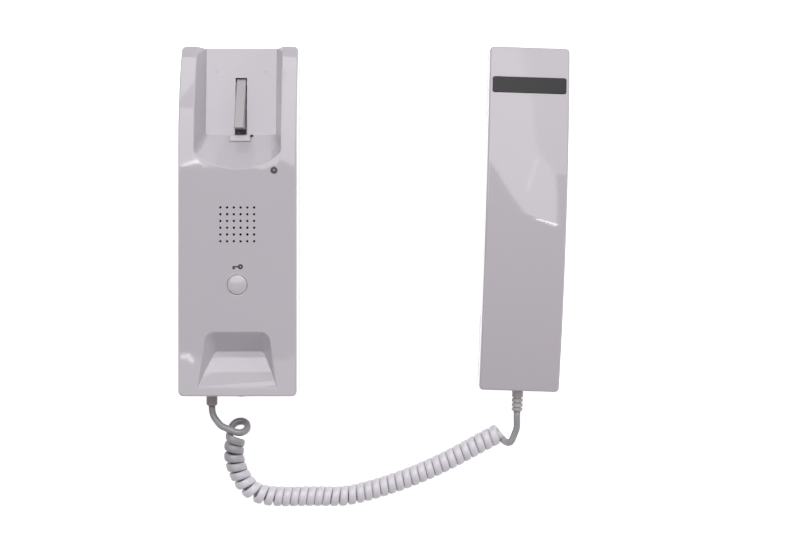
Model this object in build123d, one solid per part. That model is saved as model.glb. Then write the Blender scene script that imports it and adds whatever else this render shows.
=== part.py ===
from build123d import *
import math
import os

# Wall intercom laid on its back: a base with cradle, lever, loudspeaker and door button,
# and a handset that lies beside it, face down, on its curly cord. Millimetres.
# +Z points out of the wall, +Y to the base's top, +X to its right.
# The origin is the centre of the wall face.

# Base housing
base_width = 72.0
base_height = 215.0
base_depth = 30.0
top_edge_height = 14.0
shoulder_run = 62.5
plan_corner_radius = 3.0
least_inside_radius = 0.8
front_edge_radius = 1.0
cover_wall = 1.8
plate_thickness = 2.8
seam_gap = 0.25
cut_margin = 10.0
mouth_margin = 2.0

# Cradle trough in the cover's upper half
trough_half_width = 26.3
trough_floor_half_width = 21.8
trough_floor_top_height = 5.0
trough_floor_low_height = 11.0
trough_floor_length = 55.0
trough_foot_radius = 300.0
trough_length = 76.9
trough_lip_radius = 40.0
trough_corner_radius = 4.5
trough_edge_radius = 0.8
side_stretch = 1.25

# Mouthpiece recess in the cover's lower half
recess_low_gap = 4.8
recess_length = 34.5
recess_top_half_width = 19.2
recess_low_half_width = 24.0
recess_floor_height = 18.2
recess_top_run = 12.6
recess_crease_run = 9.2
recess_crease_height = 26.0
recess_side_run = 6.2
recess_corner_radius = 6.0
recess_corner_narrowing = 3.0
recess_edge_radius = 0.7

# Hook lever and its switch
lever_width = 6.0
lever_slot_width = 7.2
lever_slot_gap = 0.4
lever_pivot_gap = 22.1
lever_pivot_height = 4.3
lever_length = 29.1
lever_tip_height = 22.5
lever_tip_foot_height = 8.4
lever_plate_thickness = 2.0
lever_cheek = 1.0
lever_end_wall = 1.5
lever_edge_radius = 0.7
lever_heel_gap = 4.5
lever_heel_back_degrees = 20.0
lever_heel_middle_degrees = 40.0
lever_barrel_wall = 0.9
lever_foot_chamfer = 0.4
lever_travel_degrees = 12.0
lever_block_width = 13.0
lever_block_thickness = 4.2
lever_block_height = 19.6
lever_block_radius = 0.7
catch_notch_x = 6.9
catch_notch_diameter = 1.8
catch_notch_inset = 0.4
pivot_pin_diameter = 1.6
pivot_clearance = 0.05
pivot_seat_clearance = 0.02
pivot_lug_thickness = 2.2
pivot_lug_gap = 0.3
pivot_lug_wall = 0.4
lever_pocket_floor = 1.6
hook_switch_width = 3.2
hook_switch_length = 8.0
hook_switch_height = 5.0
hook_switch_reach = 12.4
hook_plunger_diameter = 1.6
hook_plunger_travel = 3.2
hook_plunger_gap = 0.2
switch_bore_floor = 0.3
switch_rest_gap = 0.1

# Loudspeaker and its grille
speaker_y = -3.0
speaker_diameter = 40.0
speaker_depth = 12.0
speaker_flange = 1.4
speaker_magnet_diameter = 20.0
speaker_magnet_depth = 5.0
speaker_wall = 1.0
speaker_rim = 3.2
speaker_basket_step = 2.2
speaker_rib_wall = 1.3
speaker_rib_depth = 3.0
speaker_rib_clearance = 0.2
cone_thickness = 0.6
cone_gap = 0.1
cone_cap_height = 1.4
magnet_edge_radius = 0.6
grille_rows = 6
grille_pitch = 4.1
grille_hole_diameter = 1.5

# Door button and its switch
button_y = -39.7
button_diameter = 12.0
button_clearance = 0.2
button_proud = 0.5
button_dome = 0.9
button_skirt = 3.2
button_flange_diameter = 14.2
button_flange = 1.2
button_travel = 1.5
button_stem_diameter = 5.0
button_dish_diameter = 16.0
button_dish_depth = 0.5
button_switch_side = 6.0
button_switch_height = 3.7
button_switch_chamfer = 0.5
button_plunger_diameter = 3.0
button_plunger_gap = 0.1
button_edge = 0.3
button_edge_height = 0.5
button_stem_gap = 0.2

# Indicator lamp
lamp_side_gap = 13.7
lamp_lip_gap = 0.8
lamp_diameter = 3.0
bezel_diameter = 4.3
bezel_proud = 0.25
lamp_leg = 0.5
lamp_leg_spacing = 2.0
lamp_length = 5.2
bezel_length = 4.05
bezel_chamfer = 0.3
lamp_sunk = 0.1
bezel_flange_overhang = 0.8

# Circuit board and what stands on it
board_width = 62.0
board_low_gap = 9.5
board_top_gap = 65.5
board_thickness = 1.6
board_gap = 3.2
board_notch_x = -11.5
board_notch_length = 20.5
board_screw_side_inset = 4.0
board_screw_low_inset = 6.0
board_screw_high_inset = 27.5
board_screw_left_shift = 3.0
board_screw_floor = 1.0
board_screw_end_gap = 0.4
standoff_diameter = 6.0
screw_shank_diameter = 2.9
screw_clearance = 0.05
screw_head_diameter = 5.6
screw_head_height = 2.0
screw_head_radius = 0.6
screw_drive_length = 3.2
screw_drive_width = 0.7
screw_drive_depth = 0.9
case_screw_length = 8.0
capacitor_diameter = 8.0
capacitor_height = 11.5
capacitor_side_inset = 5.0
capacitor_y = -36.0
terminal_ways = 5
terminal_pitch = 5.0
terminal_depth = 8.0
terminal_height = 10.0
terminal_side_inset = 4.5
terminal_screw_gap = 2.0
terminal_well_diameter = 3.4
terminal_well_depth = 4.0
terminal_screw_diameter = 3.2
terminal_screw_drop = 1.2
terminal_screw_slot = 0.6
terminal_mouth_width = 2.6
terminal_mouth_height = 2.8
terminal_mouth_depth = 3.0
terminal_mouth_foot = 1.0
terminal_chamfer = 1.2
header_x = -18.0
header_inset = 10.0
header_length = 10.0
header_width = 5.8
header_height = 7.0
header_wall = 0.8
header_floor = 1.5

# Wall plate
wall_hole_spacing = 60.0
wall_slot_width = 4.4
wall_slot_length = 8.0
driver_hole_diameter = 9.0
window_x = -20.5
window_gap = 76.5
window_side = 17.0
plate_rib_thickness = 1.4
plate_rib_height = 2.4
plate_rib_clearance = 0.4
case_screw_height = 8.0
case_lug_width = 9.0
case_lug_thickness = 6.0
case_lug_height = 9.6
case_lug_gap = 0.4
plate_rib_top_gap = 10.0
window_corner_radius = 2.0
hook_tongue_width = 3.2
hook_tongue_thickness = 1.6
hook_tongue_height = 5.2
hook_lip = 1.3
hook_lip_height = 1.6
hook_tongue_inset = 5.4
hook_tongue_gap = 0.4
hook_catch_clearance = 0.3
hook_catch_wall = 0.4

# Handset, in its own axes before it is laid down
handset_length = 210.7
handset_width = 49.0
handset_end_height = 22.0
handset_arch = 12.0
handset_grip_thickness = 16.0
handset_seam_depth = 10.5
handset_seam_gap = 0.2
handset_wall = 2.0
handset_corner_radius = 2.6
handset_edge_radius = 1.4
ear_pad_length = 39.35
ear_pad_slope_run = 9.0
mouth_pad_length = 41.35
mouth_pad_slope_run = 8.0
pad_chamfer = 3.0
handset_foot_x = 171.7
handset_foot_gap = 2.6
handset_turn_degrees = -1.85
name_plate_length = 45.0
name_plate_height = 10.0
name_plate_radius = 1.5
name_plate_thickness = 0.8
name_plate_proud = 0.3
name_plate_end_gap = 23.85
name_plate_edge_radius = 0.2
name_plate_clearance = 0.1
receiver_end_gap = 21.75
receiver_diameter = 30.0
receiver_depth = 7.0
receiver_gasket_width = 3.0
receiver_gasket_thickness = 1.0
receiver_hole_diameter = 2.0
receiver_hole_circle = 11.0
receiver_hole_count = 6
receiver_rib_height = 6.0
receiver_boss_share = 0.45
receiver_boss_height = 2.0
capsule_rib_wall = 1.3
capsule_rib_clearance = 0.3
microphone_end_gap = 21.35
microphone_diameter = 9.7
microphone_depth = 5.0
microphone_boot_wall = 1.4
microphone_hole_diameter = 1.8
microphone_boot_floor = 1.0
microphone_rib_height = 4.0
microphone_rim_gap = 0.3
microphone_clearance = 0.05
weight_length = 60.0
weight_width = 18.0
weight_thickness = 4.5
weight_rest_y = 24.0
weight_rest_thickness = 2.0
weight_chamfer = 1.5
handset_screw_inset = 9.0
handset_boss_diameter = 7.0
handset_boss_wall = 0.75
handset_boss_overlap = 1.0
handset_boss_bore_end = 0.6
handset_head_depth = 4.2
handset_head_clearance = 0.3
handset_screw_length = 9.0

# Cord
wire_diameter = 4.2
coil_radius = 4.5
coil_pitch = 4.95
coil_rest_height = 0.12
tipped_curl_radius = 5.4
tipped_curl_pitch = 6.0
tipped_curl_lean_degrees = 41.0
tipped_curl_start_degrees = 70.0
tipped_curl_centre = (-1.4, -19.8, 8.6)
gland_x = -18.1
gland_height = 9.0
gland_diameter = 6.8
gland_neck_diameter = 5.8
gland_flange_diameter = 9.4
gland_flange_thickness = 1.5
gland_clearance = 0.1
gland_length = 7.5
gland_end_chamfer = 0.8
boot_height = 12.0
boot_sleeve = 4.6
boot_notch = 0.9
boot_ring = 2.0
boot_rings = 3
boot_core_diameter = 4.9

coil_height = coil_radius + wire_diameter / 2 + coil_rest_height

# The cord's places are measured from the middle of the base's bottom end, which they move with.
# The coil's centre line along the table, as chosen points
coil_route = [
    (-4.0, -29.1),
    (-4.8, -34.3),
    (-4.6, -40.5),
    (-2.4, -47.9),
    (1.4, -54.9),
    (7.4, -61.3),
    (16.6, -64.1),
    (27.9, -64.3),
    (46.0, -64.0),
    (64.5, -64.4),
    (82.5, -59.9),
    (98.4, -54.8),
    (112.8, -49.1),
    (125.5, -43.3),
    (138.2, -36.7),
    (151.7, -29.2),
    (163.2, -23.4),
]
# The plain lead from the base's gland to the tipped first curl, as chosen points
base_lead_route = [
    (gland_x, -10.7, gland_height),
    (-16.9, -14.4, 9.8),
    (-13.6, -18.4, 11.0),
]
# Where the wire comes up from the last curl's foot and turns to the handset
last_curl_exit = (168.4, -28.7, 10.4)
last_curl_heading = (0.36, 0.92, 0.10)
# The lead's last point before its meeting with the first curl, in wire diameters
lead_approach = 1.2

half_width = base_width / 2
half_height = base_height / 2
shoulder_y = half_height - shoulder_run
front_drop = base_depth - top_edge_height
front_radius = (shoulder_run ** 2 + front_drop ** 2) / (2 * front_drop)
front_centre_height = base_depth - front_radius
cover_foot = plate_thickness + seam_gap
cover_ceiling = base_depth - cover_wall
board_bottom = plate_thickness + board_gap
board_top = board_bottom + board_thickness
sky = base_depth + cut_margin
screw_hole_radius = screw_shank_diameter / 2 + screw_clearance
trough_lip_y = half_height - trough_length
trough_floor_end_y = half_height - trough_floor_length
recess_low_y = recess_low_gap - half_height
recess_top_y = recess_low_y + recess_length
recess_floor_y = recess_top_y - recess_top_run
recess_crease_y = recess_low_y + recess_crease_run
lever_pivot_y = half_height - lever_pivot_gap
lever_tip_y = lever_pivot_y - lever_length
hook_switch_y = lever_pivot_y - hook_switch_reach
hook_tongue_x = half_width - hook_tongue_inset
lamp_x = half_width - lamp_side_gap
lamp_y = trough_lip_y - lamp_lip_gap
window_y = half_height - window_gap
board_screw_x = board_width / 2 - board_screw_side_inset
capacitor_x = board_width / 2 - capacitor_side_inset
terminal_x = terminal_side_inset - board_width / 2
board_low_y = board_low_gap - half_height
board_top_y = half_height - board_top_gap
board_notch_y = board_top_y - board_notch_length
board_screw_low_y = board_low_y + board_screw_low_inset
board_screw_high_y = board_top_y - board_screw_high_inset
header_y = board_low_y + header_inset
terminal_length = terminal_ways * terminal_pitch
terminal_low_y = board_screw_high_y - terminal_screw_gap - terminal_length
handset_half = handset_length / 2
ear_pad_inner = handset_half - ear_pad_length
ear_pad_grip = ear_pad_inner - ear_pad_slope_run
mouth_pad_inner = handset_half - mouth_pad_length
mouth_pad_grip = mouth_pad_inner - mouth_pad_slope_run
handset_screw_y = mouth_pad_grip - handset_screw_inset
receiver_y = handset_half - receiver_end_gap
microphone_y = microphone_end_gap - handset_half
name_plate_y = handset_half - name_plate_end_gap
handset_arc_radius = (handset_half ** 2 + handset_arch ** 2) / (2 * handset_arch)


def yz_face(edges):
    return make_face(Curve() + edges)


def yz_polygon(points):
    return make_face(Polyline([(0, y, z) for y, z in points], close=True))


def across(face, half_span):
    return extrude(face, amount=half_span, dir=(1, 0, 0), both=True)


def cuboid(x, y, z):
    """A box from its low and high limits along each axis."""
    corner = ((x[0] + x[1]) / 2, (y[0] + y[1]) / 2, (z[0] + z[1]) / 2)
    return Pos(*corner) * Box(x[1] - x[0], y[1] - y[0], z[1] - z[0])


def post(x, y, low, high, diameter):
    align = (Align.CENTER, Align.CENTER, Align.MIN)
    return Pos(x, y, low) * Cylinder(diameter / 2, high - low, align=align)


def cylinder_along_x(x, y, z, diameter, length):
    return Pos(x, y, z) * Rotation(0, 90, 0) * Cylinder(diameter / 2, length)


def cylinder_along_y(x, y, z, diameter, length):
    return Pos(x, y, z) * Rotation(90, 0, 0) * Cylinder(diameter / 2, length)


def centred(middle, size):
    return middle - size / 2, middle + size / 2


def between(a, b):
    return min(a, b), max(a, b)


def save(shape, name):
    shape.label = name
    export_step(shape, os.path.join("parts", name + ".step"))


def front_height(y, inset=0.0):
    """Height of the cover's front face above the wall at a given y."""
    if y <= shoulder_y:
        return base_depth - inset
    return front_centre_height + math.sqrt((front_radius - inset) ** 2 - (y - shoulder_y) ** 2)


def trough_floor(y):
    share = (half_height - y) / (half_height - trough_floor_end_y)
    return trough_floor_top_height + share * (trough_floor_low_height - trough_floor_top_height)


def housing_block(inset, low):
    """The cover's outer form, or its inside when inset by the wall."""
    end = half_height - inset
    middle = (shoulder_y + end) / 2
    outline = [
        Line((0, -end, low), (0, -end, base_depth - inset)),
        Line((0, -end, base_depth - inset), (0, shoulder_y, base_depth - inset)),
        ThreePointArc(
            (0, shoulder_y, base_depth - inset),
            (0, middle, front_height(middle, inset)),
            (0, end, front_height(end, inset)),
        ),
        Line((0, end, front_height(end, inset)), (0, end, low)),
        Line((0, end, low), (0, -end, low)),
    ]
    block = across(yz_face(outline), half_width - inset)
    corner_radius = max(plan_corner_radius - inset, least_inside_radius)
    return fillet(block.edges().filter_by(Axis.Z), corner_radius)


def trough_channel(grow):
    """The trough's sloped sides and floor, open to the top end and far above the front."""
    far = half_height + cut_margin
    near = trough_lip_y - cut_margin
    foot = trough_floor_end_y
    floor_low = trough_floor_low_height - grow
    floor_x = trough_floor_half_width + grow
    floor_far = Vector(floor_x, far, trough_floor(far) - grow)
    floor_foot = Vector(floor_x, foot, floor_low)
    floor_near = Vector(floor_x, near, floor_low)

    def above_lip(foot_point, y):
        """Where the line from the floor through the lip at a given y comes, beyond the front face."""
        lip = Vector(trough_half_width + grow, y, front_height(y))
        return foot_point + (lip - foot_point) * side_stretch

    def profile(start, turn, end, first_edge):
        x = start.X
        closing = Polyline(end, (x, near, sky), (x, far, sky), start)
        return make_face(Curve() + [first_edge, Line(turn, end), closing])

    lip_far = above_lip(floor_far, far)
    lip_middle = above_lip((floor_far + floor_foot) / 2, (far + shoulder_y) / 2)
    lip_turn = above_lip(floor_foot, shoulder_y)
    lip_near = above_lip(floor_near, near)
    floor_face = profile(floor_far, floor_foot, floor_near, Line(floor_far, floor_foot))
    lip_arc = ThreePointArc(lip_far, lip_middle, lip_turn)
    side = loft([floor_face, profile(lip_far, lip_turn, lip_near, lip_arc)], ruled=True)
    middle = across(Pos(-floor_x, 0, 0) * floor_face, floor_x)
    return middle + side + mirror(side, Plane.YZ)


def trough_ramp(grow):
    """The space above the curved ramp that rises from the trough's floor to its lip."""
    rise = base_depth - trough_floor_low_height
    run = trough_floor_end_y - trough_lip_y
    shift = grow * math.hypot(rise, run) / rise
    reach = trough_half_width + 2 * cover_wall
    far = half_height + cut_margin

    def section(height, y, radius):
        side_y = y + radius - math.sqrt(radius ** 2 - reach ** 2)
        left, right = (-reach, side_y, height), (reach, side_y, height)
        arc = ThreePointArc(left, (0, y, height), right)
        back = Polyline(right, (reach, far, height), (-reach, far, height), left)
        return make_face(Curve() + [arc, back])

    foot = section(trough_floor_low_height, trough_floor_end_y - shift, trough_foot_radius)
    lip = section(base_depth, trough_lip_y - shift, trough_lip_radius)
    below = extrude(foot, amount=trough_floor_low_height + cut_margin, dir=(0, 0, -1))
    above = extrude(lip, amount=2 * cut_margin, dir=(0, 0, 1))
    return below + loft([foot, lip], ruled=True) + above


def trough(grow):
    return trough_channel(grow) & trough_ramp(grow)


def recess(grow):
    """The mouthpiece recess: four sloped walls over a floor that rises towards the bottom edge."""
    depth = base_depth - recess_floor_height
    spread = (recess_low_half_width - recess_top_half_width) / (recess_top_y - recess_low_y)
    beyond = recess_low_y - cut_margin
    top_run = recess_top_y - recess_floor_y

    def section(height, grow_here):
        share = (base_depth - height) / depth
        side_shift = grow_here - recess_side_run * share
        top = recess_top_y - top_run * share + grow_here
        top_half = recess_top_half_width + spread * (recess_top_y - top) + side_shift
        low_half = recess_low_half_width + spread * (recess_low_y - beyond) + side_shift
        low_side = [(-low_half, beyond, height), (low_half, beyond, height)]
        top_side = [(top_half, top, height), (-top_half, top, height)]
        outline = Polyline(low_side + top_side, close=True)
        corners = outline.vertices().sort_by(Axis.Y)[-2:]
        radius = recess_corner_radius - recess_corner_narrowing * share + grow_here / 2
        return make_face(fillet(corners, radius))

    floor_section = section(recess_floor_height - grow, grow)
    walls = loft([floor_section, section(base_depth + mouth_margin, grow)], ruled=True)
    rise = (recess_crease_height - recess_floor_height) / (recess_floor_y - recess_crease_y)
    drop = grow * math.hypot(1, rise)
    last_rise = (base_depth - recess_crease_height) / recess_crease_run
    above_floor = yz_polygon(
        [
            (recess_top_y + cut_margin, recess_floor_height - grow),
            (recess_floor_y, recess_floor_height - grow),
            (recess_crease_y, recess_crease_height - drop),
            (recess_low_y, base_depth - drop),
            (beyond, base_depth - drop + last_rise * cut_margin),
            (beyond, sky),
            (recess_top_y + cut_margin, sky),
        ]
    )
    return walls & across(above_floor, half_width)


def speaker_seat():
    """A round rib under the front that locates the loudspeaker."""
    inner = speaker_diameter + 2 * speaker_rib_clearance
    low = cover_ceiling - speaker_rib_depth
    rib = post(0, speaker_y, low, cover_ceiling, inner + 2 * speaker_rib_wall)
    return rib - post(0, speaker_y, low, cover_ceiling, inner)


def on_front(edge):
    """Whether an edge lies on the cover's front face."""
    middle = edge @ 0.5
    return abs(middle.Z - front_height(middle.Y)) < front_edge_radius / 2


def soften_mouths(cover):
    """Rounds the edges where the trough and the recess open through the front."""
    trough_edges = cover.edges().filter_by(
        lambda e: on_front(e)
        and e.center().Y > trough_lip_y - 1
        and abs(e.center().X) < trough_half_width + 0.5
    )
    cover = fillet(trough_edges, trough_edge_radius)
    recess_edges = cover.edges().filter_by(
        lambda e: on_front(e)
        and recess_low_y - 1 < e.center().Y < recess_top_y + 1
        and abs(e.center().X) < recess_low_half_width + 1
    )
    return fillet(recess_edges, recess_edge_radius)


def make_front_cover():
    outer = housing_block(0, cover_foot)
    across_edges = outer.edges().filter_by(Axis.X)
    seam_edges = across_edges.filter_by(lambda e: abs(e.center().Y - shoulder_y) < 0.1)
    rim = outer.edges().filter_by(lambda e: e.bounding_box().min.Z > top_edge_height - 0.5)
    outer = fillet([e for e in rim if e not in seam_edges], front_edge_radius)
    room = housing_block(cover_wall, 0) - trough(cover_wall) - recess(cover_wall)
    opened_trough = trough(0)
    corners = opened_trough.edges().filter_by(
        lambda e: abs(abs(e.center().X) - (trough_half_width + trough_floor_half_width) / 2) < 1.5
        and trough_lip_y < e.center().Y < trough_floor_end_y
        and e.bounding_box().size.Z > 10
        and e.bounding_box().max.Z < base_depth + 0.5
    )
    opened_trough = fillet(corners, trough_corner_radius)
    cover = soften_mouths(outer - opened_trough - recess(0) - room)
    block_face = lever_slot_end()
    block = cuboid(
        centred(0, lever_block_width),
        (block_face - lever_block_thickness, block_face),
        (trough_floor_low_height - cover_wall / 2, lever_block_height),
    )
    block = fillet(block.faces().sort_by(Axis.Z)[-1].edges(), lever_block_radius)
    cover += block
    slot_span = (block_face, lever_slot_start())
    cover -= cuboid(centred(0, lever_slot_width), slot_span, (-1, lever_tip_height))
    cover += speaker_seat()
    below = cover_ceiling - 1
    steps = [(step - (grille_rows - 1) / 2) * grille_pitch for step in range(grille_rows)]
    cover -= [
        post(x, speaker_y + y, below, sky, grille_hole_diameter) for y in steps for x in steps
    ]
    cover -= post(0, button_y, below, sky, button_diameter + 2 * button_clearance)
    dish_radius = ((button_dish_diameter / 2) ** 2 + button_dish_depth ** 2) / (2 * button_dish_depth)
    cover -= Pos(0, button_y, base_depth - button_dish_depth + dish_radius) * Sphere(dish_radius)
    cover -= post(lamp_x, lamp_y, below, sky, bezel_diameter + 2 * screw_clearance)
    notch_y = block_face - catch_notch_inset
    cover -= post(catch_notch_x, notch_y, 0, lever_block_height, catch_notch_diameter)
    through = 4 * cover_wall
    gland_hole = gland_neck_diameter + 2 * gland_clearance
    cover -= cylinder_along_y(gland_x, -half_height, gland_height, gland_hole, through)
    cover -= cylinder_along_y(0, -half_height, case_screw_height, 2 * screw_hole_radius, through)
    inner_end = half_height - cover_wall
    catch_width = hook_tongue_width + hook_catch_clearance + hook_tongue_gap
    catch_y = (inner_end - hook_tongue_gap, half_height - hook_catch_wall)
    catch_low = hook_lip_low() - hook_catch_clearance
    catch_high = hook_lip_low() + hook_lip_height + hook_catch_clearance
    for side in (-1, 1):
        catch_x = centred(side * hook_tongue_x, catch_width)
        cover -= cuboid(catch_x, catch_y, (catch_low, catch_high))
    return cover


def hook_lip_low():
    return plate_thickness + hook_tongue_height - hook_lip_height


def lever_slot_start():
    heel_radius = trough_floor(lever_pivot_y) - lever_pivot_height
    return lever_pivot_y + heel_radius + lever_slot_gap


def lever_swing(y, z, degrees):
    """Where a point of the lever lies once it is pressed in by an angle."""
    angle = math.radians(degrees)
    dy = y - lever_pivot_y
    dz = z - lever_pivot_height
    turned_y = dy * math.cos(angle) - dz * math.sin(angle)
    turned_z = dy * math.sin(angle) + dz * math.cos(angle)
    return lever_pivot_y + turned_y, lever_pivot_height + turned_z


def lever_slot_end():
    """The slot ends just below where the pressed lever's tip comes."""
    return lever_swing(lever_tip_y, lever_tip_height, lever_travel_degrees)[0] - lever_slot_gap


def plate_catches():
    """The ribs along the plate's long sides and the hooked tongues at its top end."""
    rib_x = half_width - cover_wall - plate_rib_clearance
    rib_span = (board_low_y, half_height - plate_rib_top_gap)
    tongue_y = half_height - cover_wall - hook_tongue_gap
    pieces = []
    for side in (-1, 1):
        rib = between(side * rib_x, side * (rib_x - plate_rib_thickness))
        pieces.append(cuboid(rib, rib_span, (plate_thickness, plate_thickness + plate_rib_height)))
        span = centred(side * hook_tongue_x, hook_tongue_width)
        tongue = (plate_thickness, plate_thickness + hook_tongue_height)
        pieces.append(cuboid(span, (tongue_y - hook_tongue_thickness, tongue_y), tongue))
        lip = (hook_lip_low(), hook_lip_low() + hook_lip_height)
        pieces.append(cuboid(span, (tongue_y, tongue_y + hook_lip), lip))
    return pieces


def pivot_lugs():
    """Two round-topped lugs that hold the lever's pin."""
    radius = pivot_pin_diameter / 2 + pivot_lug_wall
    inner = lever_slot_width / 2 + pivot_lug_gap
    lugs = []
    for side in (-1, 1):
        span = between(side * inner, side * (inner + pivot_lug_thickness))
        foot = centred(lever_pivot_y, 2 * radius)
        lugs.append(cuboid(span, foot, (plate_thickness, lever_pivot_height)))
        place = (sum(span) / 2, lever_pivot_y, lever_pivot_height)
        lugs.append(cylinder_along_x(*place, 2 * radius, pivot_lug_thickness))
    return lugs


def make_rear_plate():
    plate = cuboid(centred(0, base_width), centred(0, base_height), (0, plate_thickness))
    plate = fillet(plate.edges().filter_by(Axis.Z), plan_corner_radius)
    plate += plate_catches()
    places = board_screw_places()
    plate += [post(x, y, plate_thickness, board_bottom, standoff_diameter) for x, y in places]
    screw_hole = 2 * screw_hole_radius
    plate -= [post(x, y, board_screw_floor, board_bottom, screw_hole) for x, y in places]
    lug_y = -half_height + cover_wall + case_lug_gap
    plate += cuboid(
        centred(0, case_lug_width),
        (lug_y, lug_y + case_lug_thickness),
        (plate_thickness, plate_thickness + case_lug_height),
    )
    plate -= cylinder_along_y(0, lug_y, case_screw_height, screw_hole, 3 * case_lug_thickness)
    plate -= cuboid(
        centred(0, lever_slot_width),
        (lever_slot_end() - 1, lever_slot_start() + 0.5),
        (lever_pocket_floor, plate_thickness),
    )
    plate += pivot_lugs()
    pin_seat = pivot_pin_diameter + 2 * pivot_seat_clearance
    plate -= cylinder_along_x(0, lever_pivot_y, lever_pivot_height, pin_seat, 4 * lever_slot_width)
    slot = Rotation(0, 0, 90) * SlotOverall(wall_slot_length, wall_slot_width)
    slot_cut = extrude(slot, amount=2 * plate_thickness, both=True)
    plate -= [Pos(0, side * wall_hole_spacing / 2, 0) * slot_cut for side in (-1, 1)]
    window = cuboid(
        centred(window_x, window_side), centred(window_y, window_side), (-1, plate_thickness + 1)
    )
    return plate - fillet(window.edges().filter_by(Axis.Z), window_corner_radius)


def board_screw_places():
    return [
        (-board_screw_x, board_screw_low_y),
        (board_screw_x, board_screw_low_y),
        (-board_screw_x, board_screw_high_y + board_screw_left_shift),
        (board_screw_x, board_screw_high_y),
    ]


def make_circuit_board():
    board = cuboid(centred(0, board_width), (board_low_y, board_top_y), (board_bottom, board_top))
    through = (board_bottom - 1, board_top + 1)
    board -= cuboid((-board_width, board_notch_x), (board_notch_y, board_top_y + 1), through)
    places = board_screw_places()
    board -= [post(x, y, *through, 2 * screw_hole_radius) for x, y in places]
    driver_places = (-wall_hole_spacing / 2, wall_hole_spacing / 2)
    board -= [post(0, y, *through, driver_hole_diameter) for y in driver_places]
    return board


def pan_screw(length):
    """A small screw standing on its shank, with its head above the origin."""
    head = post(0, 0, 0, screw_head_height, screw_head_diameter)
    head = fillet(head.edges().sort_by(Axis.Z)[-1], screw_head_radius)
    drive = cuboid(
        centred(0, screw_drive_length),
        centred(0, screw_drive_width),
        (screw_head_height - screw_drive_depth, screw_head_height + 1),
    )
    cross = drive + Rotation(0, 0, 90) * drive
    return head - cross + post(0, 0, -length, 0, screw_shank_diameter)


def ring_solid(points):
    """The solid that an outline of radii and heights turns into about the Z axis."""
    return revolve(make_face(Polyline([(r, 0, z) for r, z in points], close=True)), Axis.Z)


def make_speaker():
    flange_low = cover_ceiling - speaker_flange
    bottom = cover_ceiling - speaker_depth
    magnet_top = bottom + speaker_magnet_depth
    rim = speaker_diameter / 2
    step = rim - speaker_basket_step
    mouth = rim - speaker_rim
    magnet_radius = speaker_magnet_diameter / 2
    hole = magnet_radius - 2 * speaker_wall
    inner_foot = magnet_top + speaker_wall
    place = Pos(0, speaker_y, 0)
    frame = ring_solid(
        [
            (hole, magnet_top),
            (magnet_radius + speaker_wall, magnet_top),
            (step, flange_low - speaker_wall),
            (step, flange_low),
            (rim, flange_low),
            (rim, cover_ceiling),
            (mouth, cover_ceiling),
            (mouth, flange_low - speaker_wall),
            (magnet_radius + speaker_wall / 2, inner_foot),
            (hole, inner_foot),
        ]
    )
    edge = mouth - speaker_rib_clearance
    roll = edge - 2 * speaker_wall
    cap = magnet_radius - 4 * speaker_wall
    edge_low = flange_low + cone_gap
    cap_low = inner_foot + speaker_wall
    cone = ring_solid(
        [
            (0, cap_low + cone_gap),
            (cap, cap_low),
            (roll, edge_low),
            (edge, edge_low),
            (edge, edge_low + cone_thickness),
            (roll - cone_thickness, edge_low + cone_thickness),
            (cap - cone_thickness, cap_low + cone_thickness),
            (0, cap_low + cone_thickness + cone_cap_height),
        ]
    )
    magnet = post(0, speaker_y, bottom, magnet_top, speaker_magnet_diameter)
    return place * frame, place * cone, fillet(magnet.edges(), magnet_edge_radius)


def make_hook_lever():
    """A hollow wedge, thin at its pivot, with a rounded top and an open underside."""
    pivot_y, pivot_z = lever_pivot_y, lever_pivot_height
    heel_radius = trough_floor(pivot_y) - pivot_z
    rise = math.atan2(lever_tip_height - pivot_z - heel_radius, lever_length)

    def on_heel(angle):
        return 0, pivot_y + heel_radius * math.cos(angle), pivot_z + heel_radius * math.sin(angle)

    heel_top = on_heel(math.pi / 2 - rise)
    heel_back = on_heel(math.radians(-lever_heel_back_degrees))
    heel_middle = on_heel(math.radians(lever_heel_middle_degrees))
    barrel_low = pivot_z - pivot_pin_diameter / 2 - lever_barrel_wall
    barrel_half = pivot_pin_diameter / 2 + lever_barrel_wall / 2
    outline = [
        ThreePointArc(heel_top, heel_middle, heel_back),
        Polyline(
            heel_back,
            (0, pivot_y + barrel_half, barrel_low),
            (0, pivot_y - barrel_half, barrel_low),
            (0, lever_tip_y + lever_foot_chamfer, lever_tip_foot_height),
            (0, lever_tip_y, lever_tip_foot_height + lever_foot_chamfer),
            (0, lever_tip_y, lever_tip_height),
            heel_top,
        ),
    ]
    lever = across(yz_face(outline), lever_width / 2)
    slope = (lever_tip_height - heel_top[2]) / (heel_top[1] - lever_tip_y)

    def under_plate(y):
        thickness = lever_plate_thickness / math.cos(math.atan(slope))
        return heel_top[2] + (heel_top[1] - y) * slope - thickness

    hollow_high = pivot_y - lever_heel_gap
    hollow_low = lever_tip_y + lever_end_wall
    hollow = yz_polygon(
        [
            (hollow_low, 0),
            (hollow_high, 0),
            (hollow_high, under_plate(hollow_high)),
            (hollow_low, under_plate(hollow_low)),
        ]
    )
    lever -= across(hollow, lever_width / 2 - lever_cheek)
    bore = pivot_pin_diameter + 2 * pivot_clearance
    lever -= cylinder_along_x(0, pivot_y, pivot_z, bore, 4 * lever_width)
    top_middle = (heel_top[1] + lever_tip_y) / 2
    top_edges = lever.edges().filter_by(
        lambda e: abs(abs(e.center().X) - lever_width / 2) < 0.01
        and abs(e.center().Y - top_middle) < 0.5
        and e.center().Z > lever_tip_foot_height + 3
    )
    tip_edge = lever.edges().filter_by(Axis.X).filter_by(
        lambda e: abs(e.center().Y - lever_tip_y) < 0.05 and e.center().Z > lever_tip_height - 0.5
    )
    return fillet([*top_edges, *tip_edge], lever_edge_radius), under_plate


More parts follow.
